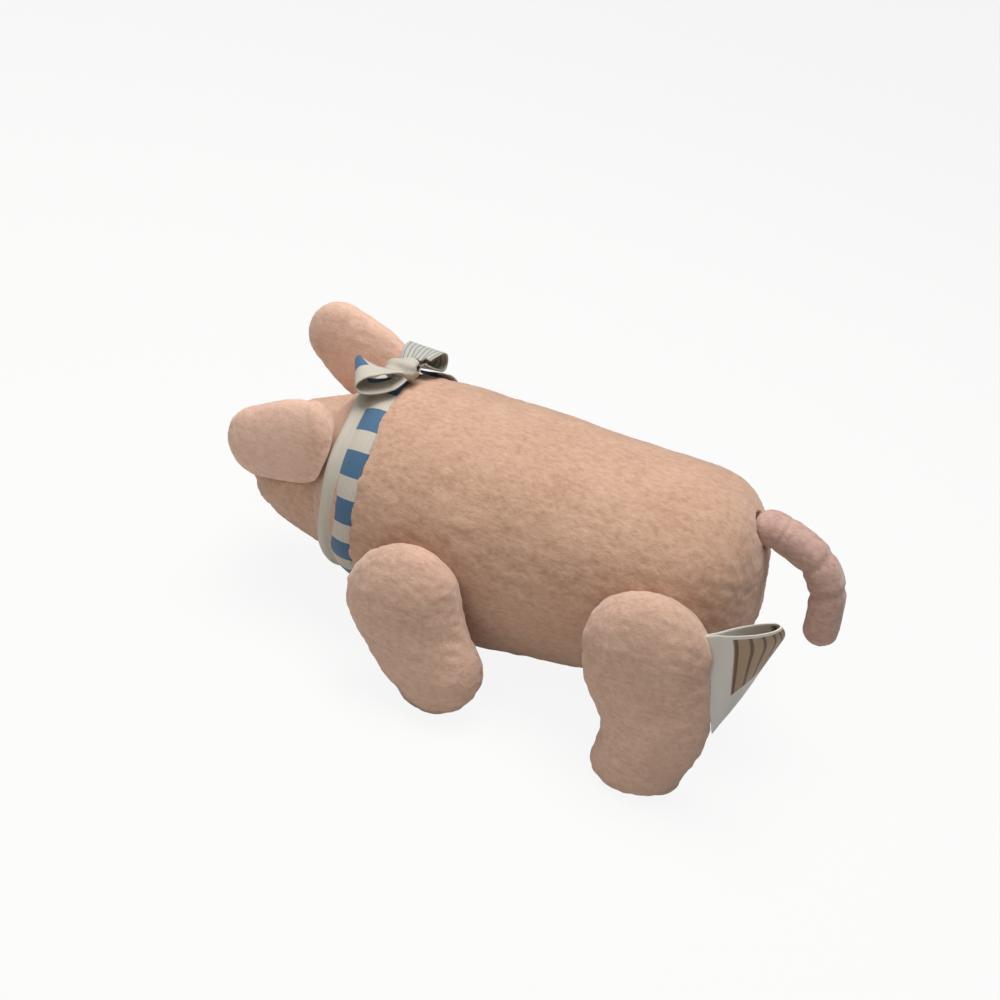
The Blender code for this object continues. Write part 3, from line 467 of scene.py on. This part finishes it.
# Each station: shares of the length, of the width, of the half-width and of the half-thickness
EAR_STATION_SHARES = (
    (0.16, 0.0, 1.00, 0.94),
    (0.36, 0.0, 1.04, 1.00),
    (0.56, 0.0, 0.98, 0.98),
    (0.69, 0.0, 0.90, 0.90),
)
ear_plush = plush("warm_pink_plush", "#f0cdb9", "#e9c1ab", "#daae97")
for side_name, side, lift in (("left", 1, math.radians(-15)), ("right", -1, math.radians(31))):
    ear_base = NECK + LEFT * side * EAR_OUT + AHEAD * EAR_AHEAD + UP * EAR_ABOVE
    ahead = AHEAD * math.cos(lift) + UP * math.sin(lift)
    above = UP * math.cos(lift) - AHEAD * math.sin(lift)
    ear_form = shaped_ball(
        72,
        72,
        pad_point(
            LEFT * side,
            ahead,
            above,
            ear_base,
            [
                (EAR_LENGTH * run, EAR_WIDTH * rise, EAR_WIDTH / 2 * high, EAR_THICK / 2 * wide)
                for run, rise, high, wide in EAR_STATION_SHARES
            ],
            caps=(EAR_THICK / EAR_WIDTH, EAR_TIP_SHARE),
        ),
    )
    pile_over(ear_form, ear_base, LEFT, lump=LUMP_HEIGHT / 3, seed=0.5 * side)
    clear_of_neck(ear_form, EAR_ROOM, EAR_EASE)
    let_in(head_form, ear_form, LEFT * -side)
    ear = dressed(
        "ear_plush_" + side_name,
        ear_form,
        ear_plush,
        "ear_" + side_name,
        "ear_cover_" + side_name,
        "ear_lining_" + side_name,
    )

clear_of_neck(head_form, HEAD_ROOM, HEAD_EASE)
head = dressed("head_plush", head_form, body_plush, "head", "head_cover_left", "head_cover_right")


# Snout: a round plush pad sewn to the front of the face round its edge. Each nostril is a
# patch of satin stitch in dark brown thread.
SNOUT_RADIUS, SNOUT_STAND, SNOUT_SINK = 0.0078, 0.0020, 0.0012
SNOUT_DISH, SNOUT_DISH_SHARE = 0.0004, 0.5
# The lower these powers, the flatter the pad's faces and the squarer its rim
SNOUT_FACE_POWER, SNOUT_RIM_POWER = 0.35, 0.72
snout_middle = NECK + AHEAD * HEAD_LENGTH + UP * HEAD_RADIUS * HEAD_STATION_SHARES[-1][1]


def snout_point(along, around):
    """The pad's front is the first half of the way along, a little dished between round edges."""
    girth = math.sin(along * math.pi)
    depth = math.cos(along * math.pi)
    if depth > 0:
        stand = SNOUT_STAND * depth**SNOUT_FACE_POWER
        stand -= SNOUT_DISH * math.exp(-((girth / SNOUT_DISH_SHARE) ** 2))
    else:
        stand = SNOUT_SINK * -((-depth) ** SNOUT_FACE_POWER)
    radius = SNOUT_RADIUS * girth**SNOUT_RIM_POWER
    aside = LEFT * math.sin(around) + UP * math.cos(around)
    return snout_middle + aside * radius + AHEAD * stand


snout_form = shaped_ball(48, 64, snout_point)
pile_over(snout_form, snout_middle + LEFT, LEFT, lump=LUMP_HEIGHT / 4, seed=0.9)
snout = dressed("snout_pad", snout_form, ear_plush, "head", "snout")


def wound_thread(name, colour, spacing):
    """Polyester sewing thread, laid side by side: fine ribs, each with a soft sheen."""
    made, tree = new_material(name)
    place = add_node(tree, "ShaderNodeTexCoord").outputs["Object"]
    ribs = add_node(
        tree,
        "ShaderNodeTexWave",
        [(place, "Vector")],
        bands_direction="Z",
        Scale=0.314 / spacing,
        Distortion=0.6,
    )
    bump = add_node(
        tree,
        "ShaderNodeBump",
        [(ribs.outputs["Fac"], "Height")],
        Strength=0.6,
        Distance=spacing / 3,
    )
    shader = add_node(
        tree,
        "ShaderNodeBsdfPrincipled",
        [(bump.outputs[0], "Normal")],
        Base_Color=linear(colour),
        Roughness=0.55,
    )
    add_node(tree, "ShaderNodeOutputMaterial", [(shader.outputs[0], "Surface")])
    return made


def finish_solids(material, *nodes):
    """Gives a finish to CAD solids that stay in sight."""
    for node in nodes:
        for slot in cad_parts[node].material_slots:
            slot.material = material


# The threads here and at the hips are drawn 0.4 mm apart, coarser than real ones, to show
finish_solids(
    wound_thread("dark_satin_stitch", "#3a241d", 0.0004), "nostril_left", "nostril_right"
)


# Eyes: domed black plastic buttons on stems. A plastic washer grips each stem inside the head.
def moulded_plastic(name, colour, roughness, clear=0.0):
    """Moulded plastic: smooth, with a faint orange-peel 1.2 mm across that softens the highlights."""
    made, tree = new_material(name)
    place = add_node(tree, "ShaderNodeTexCoord").outputs["Object"]
    peel = add_node(tree, "ShaderNodeTexNoise", [(place, "Vector")], Scale=1 / 0.0012, Detail=2.0)
    bump = add_node(
        tree,
        "ShaderNodeBump",
        [(peel.outputs["Fac"], "Height")],
        Strength=0.06,
        Distance=0.0002,
    )
    shader = add_node(
        tree,
        "ShaderNodeBsdfPrincipled",
        [(bump.outputs[0], "Normal")],
        Base_Color=linear(colour),
        Roughness=roughness,
        IOR=1.49,
        Transmission_Weight=clear,
    )
    add_node(tree, "ShaderNodeOutputMaterial", [(shader.outputs[0], "Surface")])
    return made


black_plastic = moulded_plastic("polished_black_plastic", "#0d0c0d", 0.12)
clear_plastic = moulded_plastic("milky_polythene", "#cfd2d1", 0.45, clear=0.5)
finish_solids(black_plastic, "eye_left", "eye_right")
finish_solids(clear_plastic, "eye_washer_left", "eye_washer_right")


# Legs: an outer and an inner plush panel, stuffed and tacked to the body by a thread at the
# hip. The round thigh lies flat against the body and the foot turns forward.
LEG_OUTER, LEG_INNER, SOLE_LIFT = 0.0096, 0.0042, 0.0001
# Each pair: its end, the left hip, the stations (ahead, above, half-height), the foot's length
# as a share of its half-height and the way that its sections lie square to
LEGS = (
    (
        "rear",
        Vector((0.03339, 0.04122, 0.03759)),
        (
            (0.0, 0.0, 0.0166),
            (-0.002158, -0.011109, 0.016185),
            (-0.004814, -0.021222, 0.013446),
            (-0.0026, -0.03316, 0.0120),
        ),
        0.45,
        Vector((0, -1)),
    ),
    (
        "front",
        Vector((0.03635, -0.02036, 0.02758)),
        (
            (0.0, 0.0, 0.01565),
            (-0.005634, -0.011222, 0.013459),
            (-0.0104, -0.017003, 0.0123),
        ),
        1,
        Vector((-0.0104, -0.017003)).normalized(),
    ),
)
leg_plush = plush("pale_pink_plush", "#dfbca8", "#d3ae98", "#c39d87")
hip_thread = wound_thread("pink_tacking_thread", "#c48f7c", 0.0004)
for end, hip, stations, sole_share, leg_way in LEGS:
    for side_name, side in (("left", 1), ("right", -1)):
        centre = Vector((hip.x * side, hip.y, hip.z))
        leg_form = shaped_ball(
            120,
            112,
            pad_point(
                LEFT * side,
                AHEAD,
                UP,
                centre,
                [(*station, LEG_OUTER) for station in stations],
                caps=(1, sole_share),
                inner=LEG_INNER,
                square_to=leg_way,
            ),
        )
        pile_over(leg_form, centre, LEFT, seed=centre.x + centre.y)
        for vert in leg_form.verts:
            vert.co.x = side * max(vert.co.x * side, hip.x - LEG_INNER)
            vert.co.z = max(vert.co.z, SOLE_LIFT)
        name = end + "_" + side_name
        leg = dressed(
            "leg_plush_" + name,
            leg_form,
            leg_plush,
            "leg_" + name,
            "leg_outer_" + name,
            "leg_inner_" + name,
            "leg_stuffing_" + name,
        )
        finish_solids(hip_thread, "hip_thread_" + name)


# Tail: a thin tube of smoother plush, stuffed, its base sewn into a dimple of the rump. It
# arches back and hangs, and creases across where it bends.
TAIL_SPAN, TAIL_FALL = 0.0176, 0.0236
# Each station: shares of the span back, of the fall up and of the radius
TAIL_STATION_SHARES = (
    (0.00, 0.00, 1.00),
    (0.29, -0.06, 1.00),
    (0.72, -0.25, 1.02),
    (0.96, -0.55, 1.02),
    (1.00, -1.00, 1.00),
)
# Each crease: its place along the tail, its half-length there and its depth as a girth share
TAIL_CREASES = ((0.35, 0.012, 0.06), (0.50, 0.014, 0.09), (0.61, 0.012, 0.10))
tail_place = pad_point(
    LEFT,
    BACK,
    UP,
    TAIL_BASE,
    [
        (TAIL_SPAN * run, TAIL_FALL * fall, TAIL_RADIUS * girth, TAIL_RADIUS * girth)
        for run, fall, girth in TAIL_STATION_SHARES
    ],
)


def tail_point(along, around):
    """A place on the tail, drawn in towards its middle at the creases."""
    spot = tail_place(along, around)
    middle = (spot + tail_place(along, around + math.pi)) / 2
    for crease, half_length, depth in TAIL_CREASES:
        spot += (middle - spot) * depth * math.exp(-(((along - crease) / half_length) ** 2))
    return spot


tail_form = shaped_ball(160, 48, tail_point)
pile_over(tail_form, TAIL_BASE, LEFT, lump=LUMP_HEIGHT / 4, seed=1.7)
tail_plush = plush("rosy_tail_plush", "#d7b5a7", "#caa597", "#b58e80")
tail = dressed("tail_plush", tail_form, tail_plush, "tail", "tail_cover_left", "tail_cover_right")


# Ribbon: 11 mm woven polyester, off-white with a row of blue checks along one half. It goes
# once round the neck, its plain front edge flaring up, and ties in a knot with two loops and
# two short cut ends.
RIBBON_WIDTH, RIBBON_THICK = 0.011, 0.0004
CHECK_PITCH, CHECK_LENGTH, CHECK_WIDTH = 0.0125, 0.0068, 0.0052
COLLAR_REAR, COLLAR_TILT, COLLAR_LENGTH = math.radians(75.15), math.radians(3), 0.1760
COLLAR_WAVES, COLLAR_WAVE_HEIGHT = 7, 0.00025
# The collar's section: how far forward of its rear edge over the neck ball, and how high
COLLAR_SECTION = (
    (0.0000, -0.0003),
    (0.0024, 0.0006),
    (0.0048, 0.0009),
    (0.0063, 0.0007),
    (0.0070, 0.0009),
    (0.0077, 0.0018),
    (0.0088, 0.0024),
    (0.0103, 0.0021),
)
BOW_TURN, BOW_CONE = math.radians(3), math.radians(76)


def tape(
    name, place, steps, material, body, node, flat, thick=RIBBON_THICK, first=0.0
):
    """A strip of woven tape laid onto place(along, across), both running from 0 to 1.

    Its flat size is (width, length). Its UV map holds the flat strip's metres, along, counted
    on from first, and across.
    """
    form = bmesh.new()
    flat_map = form.loops.layers.uv.new("flat")
    half_grid = Vector((0.5, 0.5, 0))
    bmesh.ops.create_grid(form, x_segments=steps[0], y_segments=steps[1], size=0.5)
    for face in form.faces:
        for corner in face.loops:
            share = corner.vert.co + half_grid
            corner[flat_map].uv = (first + share.x * flat[1], share.y * flat[0])
    for vert in form.verts:
        share = vert.co + half_grid
        vert.co = place(share.x, share.y)
    bmesh.ops.recalc_face_normals(form, faces=form.faces)
    made = dressed(name, form, material, body, node)
    wall = made.modifiers.new("tape", "SOLIDIFY")
    wall.thickness = thick
    wall.offset = 0
    return made


def neck_place(turn, cone, height, tilt=0.0):
    """A place over the neck ball: turned from the top to the left, and opened from the front,
    or from a way tilted up from it."""
    front = AHEAD * math.cos(tilt) + UP * math.sin(tilt)
    top = UP * math.cos(tilt) - AHEAD * math.sin(tilt)
    outward = top * math.cos(turn) + LEFT * math.sin(turn)
    return NECK + (front * math.cos(cone) + outward * math.sin(cone)) * (NECK_RADIUS + height)


def woven_ribbon(name, white, blue, ribs=0.0):
    """Plain-woven polyester ribbon: matt, with warps 0.45 mm and wefts 0.35 mm apart that catch
    the light and a painted shade between them, a row of dyed checks on one face and, where ribs
    gives their spacing, coarse lengthwise ribs with darker lines between them on the other."""
    made, tree = new_material(name)
    flat_map = add_node(tree, "ShaderNodeUVMap", uv_map="flat").outputs["UV"]
    parts = add_node(tree, "ShaderNodeSeparateXYZ", [(flat_map, "Vector")])
    step = add_node(tree, "ShaderNodeMath", [(parts.outputs["X"], 0)], operation="MODULO")
    step.inputs[1].default_value = CHECK_PITCH
    in_check = add_node(tree, "ShaderNodeMath", [(step.outputs[0], 0)], operation="LESS_THAN")
    in_check.inputs[1].default_value = CHECK_LENGTH
    in_row = add_node(tree, "ShaderNodeMath", [(parts.outputs["Y"], 0)], operation="LESS_THAN")
    in_row.inputs[1].default_value = CHECK_WIDTH
    checks = add_node(
        tree,
        "ShaderNodeMath",
        [(in_check.outputs[0], 0), (in_row.outputs[0], 1)],
        operation="MULTIPLY",
    )
    wefts, warps = [
        add_node(
            tree,
            "ShaderNodeTexWave",
            [(flat_map, "Vector")],
            bands_direction=way,
            Scale=0.314 / spacing,
            Distortion=0.4,
        )
        for way, spacing in (("X", 0.00035), ("Y", 0.00045))
    ]
    weave = add_node(
        tree,
        "ShaderNodeMath",
        [(wefts.outputs["Fac"], 0), (warps.outputs["Fac"], 1)],
        operation="MULTIPLY",
    )
    dye = add_node(tree, "ShaderNodeMix", [(checks.outputs[0], "Factor")], data_type="RGBA")
    dye.inputs[6].default_value = linear(white)
    dye.inputs[7].default_value = linear(blue)
    # Painted shade between the threads: where the weave is low, the dye's colour is darkened.
    painted_thread_shade = add_node(tree, "ShaderNodeMapRange", [(weave.outputs[0], "Value")], To_Min=0.55)
    shade = add_node(
        tree,
        "ShaderNodeMix",
        [(dye.outputs[2], 6), (painted_thread_shade.outputs[0], 7)],
        data_type="RGBA",
        blend_type="MULTIPLY",
        Factor=0.45,
    )
    colour = shade.outputs[2]
    if ribs:
        floats = add_node(
            tree,
            "ShaderNodeTexWave",
            [(flat_map, "Vector")],
            bands_direction="Y",
            Scale=0.314 / ribs,
            Distortion=0.8,
        )
        # Darker lines between the ribs: the colour is mixed towards dark grey there.
        dark = add_node(
            tree,
            "ShaderNodeMapRange",
            [(floats.outputs["Fac"], "Value")],
            From_Min=0.62,
            From_Max=0.95,
            To_Max=0.6,
        )
        ribbed = add_node(
            tree, "ShaderNodeMix", [(dark.outputs[0], "Factor"), (colour, 6)], data_type="RGBA"
        )
        ribbed.inputs[7].default_value = linear("#5f6466")
        colour = ribbed.outputs[2]
    bump = add_node(
        tree,
        "ShaderNodeBump",
        [(weave.outputs[0], "Height")],
        Strength=0.5,
        Distance=0.00012,
    )
    shader = add_node(
        tree,
        "ShaderNodeBsdfPrincipled",
        [(colour, "Base Color"), (bump.outputs[0], "Normal")],
        Roughness=0.75,
        Sheen_Weight=0.15,
    )
    add_node(tree, "ShaderNodeOutputMaterial", [(shader.outputs[0], "Surface")])
    return made


checked_ribbon = woven_ribbon("checked_woven_ribbon", "#dcd5c6", "#4b7698")
plain_ribbon = woven_ribbon("plain_run_of_ribbon", "#dcd5c6", "#dcd5c6")
ribbed_ribbon = woven_ribbon("ribbed_back_of_ribbon", "#cfcfc6", "#cfcfc6", ribs=0.00135)


def collar_place(along, across):
    """Once round from under the knot and back to it, across running from the rear edge."""
    turn = BOW_TURN + 2 * math.pi * along
    ahead, height = smooth_between(COLLAR_SECTION, across)
    height += COLLAR_WAVE_HEIGHT * math.sin(COLLAR_WAVES * turn) * across
    return neck_place(turn, COLLAR_REAR - ahead / NECK_RADIUS, height, tilt=COLLAR_TILT)


collar = tape(
    "ribbon_collar_tape",
    collar_place,
    (220, 18),
    checked_ribbon,
    "head",
    "ribbon_collar",
    (RIBBON_WIDTH, COLLAR_LENGTH),
)

KNOT_RADIUS, KNOT_HEIGHT, KNOT_OFF, KNOT_LENGTH = 0.0034, 0.0052, 0.0017, 0.0205
KNOT_WIDTH_SHARE, KNOT_PINCH = 0.82, 0.62
KNOT_PLEATS, KNOT_PLEAT, KNOT_PLEAT_TWIST = 5, 0.00022, 2.5
knot_base = neck_place(BOW_TURN, BOW_CONE, KNOT_OFF)
knot_way = (knot_base - NECK).normalized()
knot_along = LEFT * math.cos(BOW_TURN) - UP * math.sin(BOW_TURN)
knot_forward = knot_way.cross(knot_along)
knot_forward *= math.copysign(1, knot_forward.dot(AHEAD))


def bow_place(aside, forward, height):
    """A place by the knot: aside along the collar to the left, forward, and off the neck."""
    return knot_base + knot_along * aside + knot_forward * forward + knot_way * height


def knot_place(along, across):
    """The knot's wrap: round the gathered loops, pinched towards its front and rear edges."""
    angle = 2 * math.pi * along
    off_middle = 2 * across - 1
    girth = 1 - KNOT_PINCH * off_middle**4
    pleat = KNOT_PLEAT * math.sin(KNOT_PLEATS * angle + KNOT_PLEAT_TWIST * off_middle)
    return bow_place(
        (KNOT_RADIUS * girth + pleat) * math.sin(angle),
        RIBBON_WIDTH * KNOT_WIDTH_SHARE / 2 * off_middle,
        KNOT_HEIGHT / 2 * (1 + girth * math.cos(angle)) + pleat * math.cos(angle),
    )


knot = tape(
    "ribbon_knot_wrap",
    knot_place,
    (64, 20),
    plain_ribbon,
    "head",
    "ribbon_knot",
    (RIBBON_WIDTH, KNOT_LENGTH),
)

LOOP_LENGTH, LOOP_HEIGHT, LOOP_FLAT_LENGTH = 0.0105, 0.0046, 0.0262
LOOP_OPEN_SHARE, LOOP_PLEATS, LOOP_PLEAT = 0.4, 3, 0.00035
# A loop as (along, height) shares of its length and height, out and back
LOOP_SHARES = (
    (0.00, 0.62),
    (0.22, 0.86),
    (0.50, 1.10),
    (0.80, 1.12),
    (0.97, 0.84),
    (1.00, 0.50),
    (0.90, 0.20),
    (0.62, 0.06),
    (0.30, 0.12),
    (0.00, 0.30),
)


def bow_loop(name, start, run_way, rise_way, last_width, gather_share, material, first, checks):
    """A loop, gathered to a share of its width beside the knot, that runs out and back.

    Its width turns from forward to the last width's way as it opens. Its row of checks is on the
    front half, 1, or on the rear half, -1.
    """

    def place(along, across):
        run, rise = smooth_between(LOOP_SHARES, along)
        gathered = max(1 - run / LOOP_OPEN_SHARE, 0)
        width = (knot_forward * (1 - run) + last_width * run).normalized()
        off_middle = checks * (1 - 2 * across)
        spot = start + run_way * LOOP_LENGTH * run + rise_way * LOOP_HEIGHT * rise
        spot += width * off_middle * RIBBON_WIDTH / 2 * (1 - gathered * (1 - gather_share))
        pleat = LOOP_PLEAT * gathered * math.cos(LOOP_PLEATS * math.pi * off_middle)
        return spot + rise_way * pleat

    made = tape(
        name + "_tape",
        place,
        (80, 24),
        material,
        "head",
        name,
        (RIBBON_WIDTH, LOOP_FLAT_LENGTH),
        first=first,
    )


RIGHT_LOOP_ASIDE, RIGHT_LOOP_BACK, RIGHT_LOOP_STAND = 0.0037, 0.0012, 0.0007
RIGHT_LOOP_FALL, RIGHT_LOOP_LEAN = math.radians(12), math.radians(10)
bow_loop(
    "ribbon_loop_right",
    bow_place(-RIGHT_LOOP_ASIDE, -RIGHT_LOOP_BACK, RIGHT_LOOP_STAND),
    -UP * math.sin(RIGHT_LOOP_FALL) - LEFT * math.cos(RIGHT_LOOP_FALL),
    UP * math.cos(RIGHT_LOOP_FALL) - LEFT * math.sin(RIGHT_LOOP_FALL),
    AHEAD * math.cos(RIGHT_LOOP_LEAN) + UP * math.sin(RIGHT_LOOP_LEAN),
    gather_share=0.8,
    material=ribbed_ribbon,
    first=0.0,
    checks=-1,
)

LEFT_LOOP_ASIDE, LEFT_LOOP_FIRST = 0.0040, 0.0055
LEFT_LOOP_TURN, LEFT_LOOP_FALL_SHARE, LEFT_LOOP_LEAN = math.radians(64), 0.12, math.radians(12)
left_run = LEFT * math.cos(LEFT_LOOP_TURN) + AHEAD * math.sin(LEFT_LOOP_TURN)
left_across = AHEAD * math.cos(LEFT_LOOP_TURN) - LEFT * math.sin(LEFT_LOOP_TURN)
bow_loop(
    "ribbon_loop_left",
    bow_place(LEFT_LOOP_ASIDE, 0, 0),
    (left_run - UP * LEFT_LOOP_FALL_SHARE).normalized(),
    knot_way,
    left_across * math.cos(LEFT_LOOP_LEAN) + UP * math.sin(LEFT_LOOP_LEAN),
    gather_share=0.5,
    material=checked_ribbon,
    first=LEFT_LOOP_FIRST,
    checks=1,
)

# One end lies back beside the shoulders, the other down the right side, behind the collar. Each
# fills the patch of the neck ball between two turns and two openings, in degrees.
END_BACK_TURNS, END_BACK_CONES, END_BACK_HEIGHT = (-24, -45), (71.5, 89.5), 0.0011
END_SIDE_TURNS, END_SIDE_CONES, END_SIDE_HEIGHT = (-49, -77), (77.5, 95.5), 0.0017
END_TUCK_HEIGHT, END_TUCK_SHARE = 0.0022, 0.5


def angle_between(limits, share):
    """The angle in radians at a share of the way between two limits in degrees."""
    return math.radians(limits[0] + (limits[1] - limits[0]) * share)


def end_back_place(along, across):
    """It starts over the collar's rear edge and settles onto the body."""
    tuck = (END_TUCK_HEIGHT - END_BACK_HEIGHT) * max(1 - along / END_TUCK_SHARE, 0) ** 2
    turn = angle_between(END_BACK_TURNS, across)
    return neck_place(turn, angle_between(END_BACK_CONES, along), END_BACK_HEIGHT + tuck)


def end_side_place(along, across):
    """It runs down round the neck at one height."""
    turn = angle_between(END_SIDE_TURNS, along)
    return neck_place(turn, angle_between(END_SIDE_CONES, across), END_SIDE_HEIGHT)


for name, place, length, width in (
    ("ribbon_end_back", end_back_place, 0.0105, 0.0112),
    ("ribbon_end_side", end_side_place, 0.0150, 0.0101),
):
    end_tape = tape(
        name + "_tape",
        place,
        (20, 20),
        checked_ribbon,
        "head",
        name,
        (width, length),
    )


# Care label: white satin-woven tape, 25 mm wide, folded in two with both ends caught in the
# rear seam of the left hind leg. A tan panel with plain brown stripes is woven into it.
LABEL_WIDTH, LABEL_LENGTH, LABEL_THICK = 0.025, 0.0460, 0.0003
LABEL_REACH, LABEL_TILT, LABEL_OPENING = 0.0190, math.radians(25), 0.0056
LABEL_CURL, LABEL_SWEEP, LABEL_RISE, LABEL_SLANT = 0.0106, 0.0061, 0.0100, 0.0056
LABEL_STAND, LABEL_DRAWN_IN, LABEL_DRAWN_SHARE = 0.0016, 0.16, 0.3
# The tape as shares of its reach and of its opening, from one sewn end round the fold
LABEL_SHARES = (
    (-0.15, 0.05),
    (0.04, 0.12),
    (0.30, 0.36),
    (0.65, 0.50),
    (0.90, 0.40),
    (1.00, 0.14),
    (1.00, -0.14),
    (0.90, -0.40),
    (0.65, -0.50),
    (0.30, -0.36),
    (0.04, -0.12),
    (-0.15, -0.05),
)
rear_hip, rear_thigh = LEGS[0][1], LEGS[0][2][0][2]
thigh_back = math.sqrt(rear_thigh**2 - LABEL_RISE**2)
label_top = rear_hip + BACK * (thigh_back + LABEL_STAND) + UP * LABEL_RISE
label_low = label_top + BACK * LABEL_SLANT - UP * math.sqrt(LABEL_WIDTH**2 - LABEL_SLANT**2)
label_out = BACK * math.cos(LABEL_TILT) + UP * math.sin(LABEL_TILT)
fold_top = label_top + label_out * LABEL_REACH
fold_low = (
    fold_top
    - BACK * LABEL_SWEEP
    - LEFT * LABEL_CURL
    - UP * math.sqrt(LABEL_WIDTH**2 - LABEL_CURL**2 - LABEL_SWEEP**2)
)


def label_place(along, across):
    """A place on the tape, across running down from its top edge, which is drawn in a little."""
    run, opening = smooth_between(LABEL_SHARES, along)
    run *= 1 - LABEL_DRAWN_IN * max(1 - across / LABEL_DRAWN_SHARE, 0) ** 2
    seam = label_top.lerp(label_low, across)
    return seam.lerp(fold_top.lerp(fold_low, across), run) + LEFT * LABEL_OPENING * opening


def satin_label(name):
    """Satin-woven polyester tape: smooth white, with a soft shine across its 0.25 mm threads."""
    made, tree = new_material(name)
    flat_map = add_node(tree, "ShaderNodeUVMap", uv_map="flat").outputs["UV"]
    parts = add_node(tree, "ShaderNodeSeparateXYZ", [(flat_map, "Vector")])
    # The panel: from 8.5 to 31 mm along the tape and from 1 to 19 mm across it
    within = []
    for way, low, high in (("X", 0.0085, 0.0310), ("Y", 0.0010, 0.0190)):
        off = add_node(tree, "ShaderNodeMath", [(parts.outputs[way], 0)], operation="SUBTRACT")
        off.inputs[1].default_value = (low + high) / 2
        far = add_node(tree, "ShaderNodeMath", [(off.outputs[0], 0)], operation="ABSOLUTE")
        near = add_node(tree, "ShaderNodeMath", [(far.outputs[0], 0)], operation="LESS_THAN")
        near.inputs[1].default_value = (high - low) / 2
        within.append(near.outputs[0])
    inside = add_node(
        tree, "ShaderNodeMath", [(within[0], 0), (within[1], 1)], operation="MULTIPLY"
    )
    # Plain stripes across the tape, 2.6 mm apart
    stripes = add_node(
        tree,
        "ShaderNodeTexWave",
        [(flat_map, "Vector")],
        bands_direction="X",
        Scale=0.314 / 0.0026,
        Distortion=0.3,
    )
    line = add_node(
        tree,
        "ShaderNodeMapRange",
        [(stripes.outputs["Fac"], "Value")],
        From_Min=0.75,
        From_Max=0.92,
    )
    panel = add_node(tree, "ShaderNodeMix", [(line.outputs[0], "Factor")], data_type="RGBA")
    panel.inputs[6].default_value = linear("#a48a6c")
    panel.inputs[7].default_value = linear("#5f4329")
    cloth = add_node(
        tree,
        "ShaderNodeMix",
        [(inside.outputs[0], "Factor"), (panel.outputs[2], 7)],
        data_type="RGBA",
    )
    cloth.inputs[6].default_value = linear("#dcdad3")
    threads = add_node(
        tree,
        "ShaderNodeTexWave",
        [(flat_map, "Vector")],
        bands_direction="Y",
        Scale=0.314 / 0.00025,
        Distortion=0.3,
    )
    bump = add_node(
        tree,
        "ShaderNodeBump",
        [(threads.outputs["Fac"], "Height")],
        Strength=0.3,
        Distance=0.00008,
    )
    shader = add_node(
        tree,
        "ShaderNodeBsdfPrincipled",
        [(cloth.outputs[2], "Base Color"), (bump.outputs[0], "Normal")],
        Roughness=0.5,
        Sheen_Weight=0.1,
    )
    add_node(tree, "ShaderNodeOutputMaterial", [(shader.outputs[0], "Surface")])
    return made


label = tape(
    "care_label_tape",
    label_place,
    (96, 40),
    satin_label("satin_woven_tape"),
    "leg_rear_left",
    "care_label",
    (LABEL_WIDTH, LABEL_LENGTH),
    thick=LABEL_THICK,
)


# Stuffing: polyester fibre, hidden inside the closed plush, whose padded pieces stand for it.
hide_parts("body_stuffing")
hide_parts("head_stuffing")
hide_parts("tail_stuffing")
for side_name in ("left", "right"):
    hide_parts("ear_wadding_" + side_name)
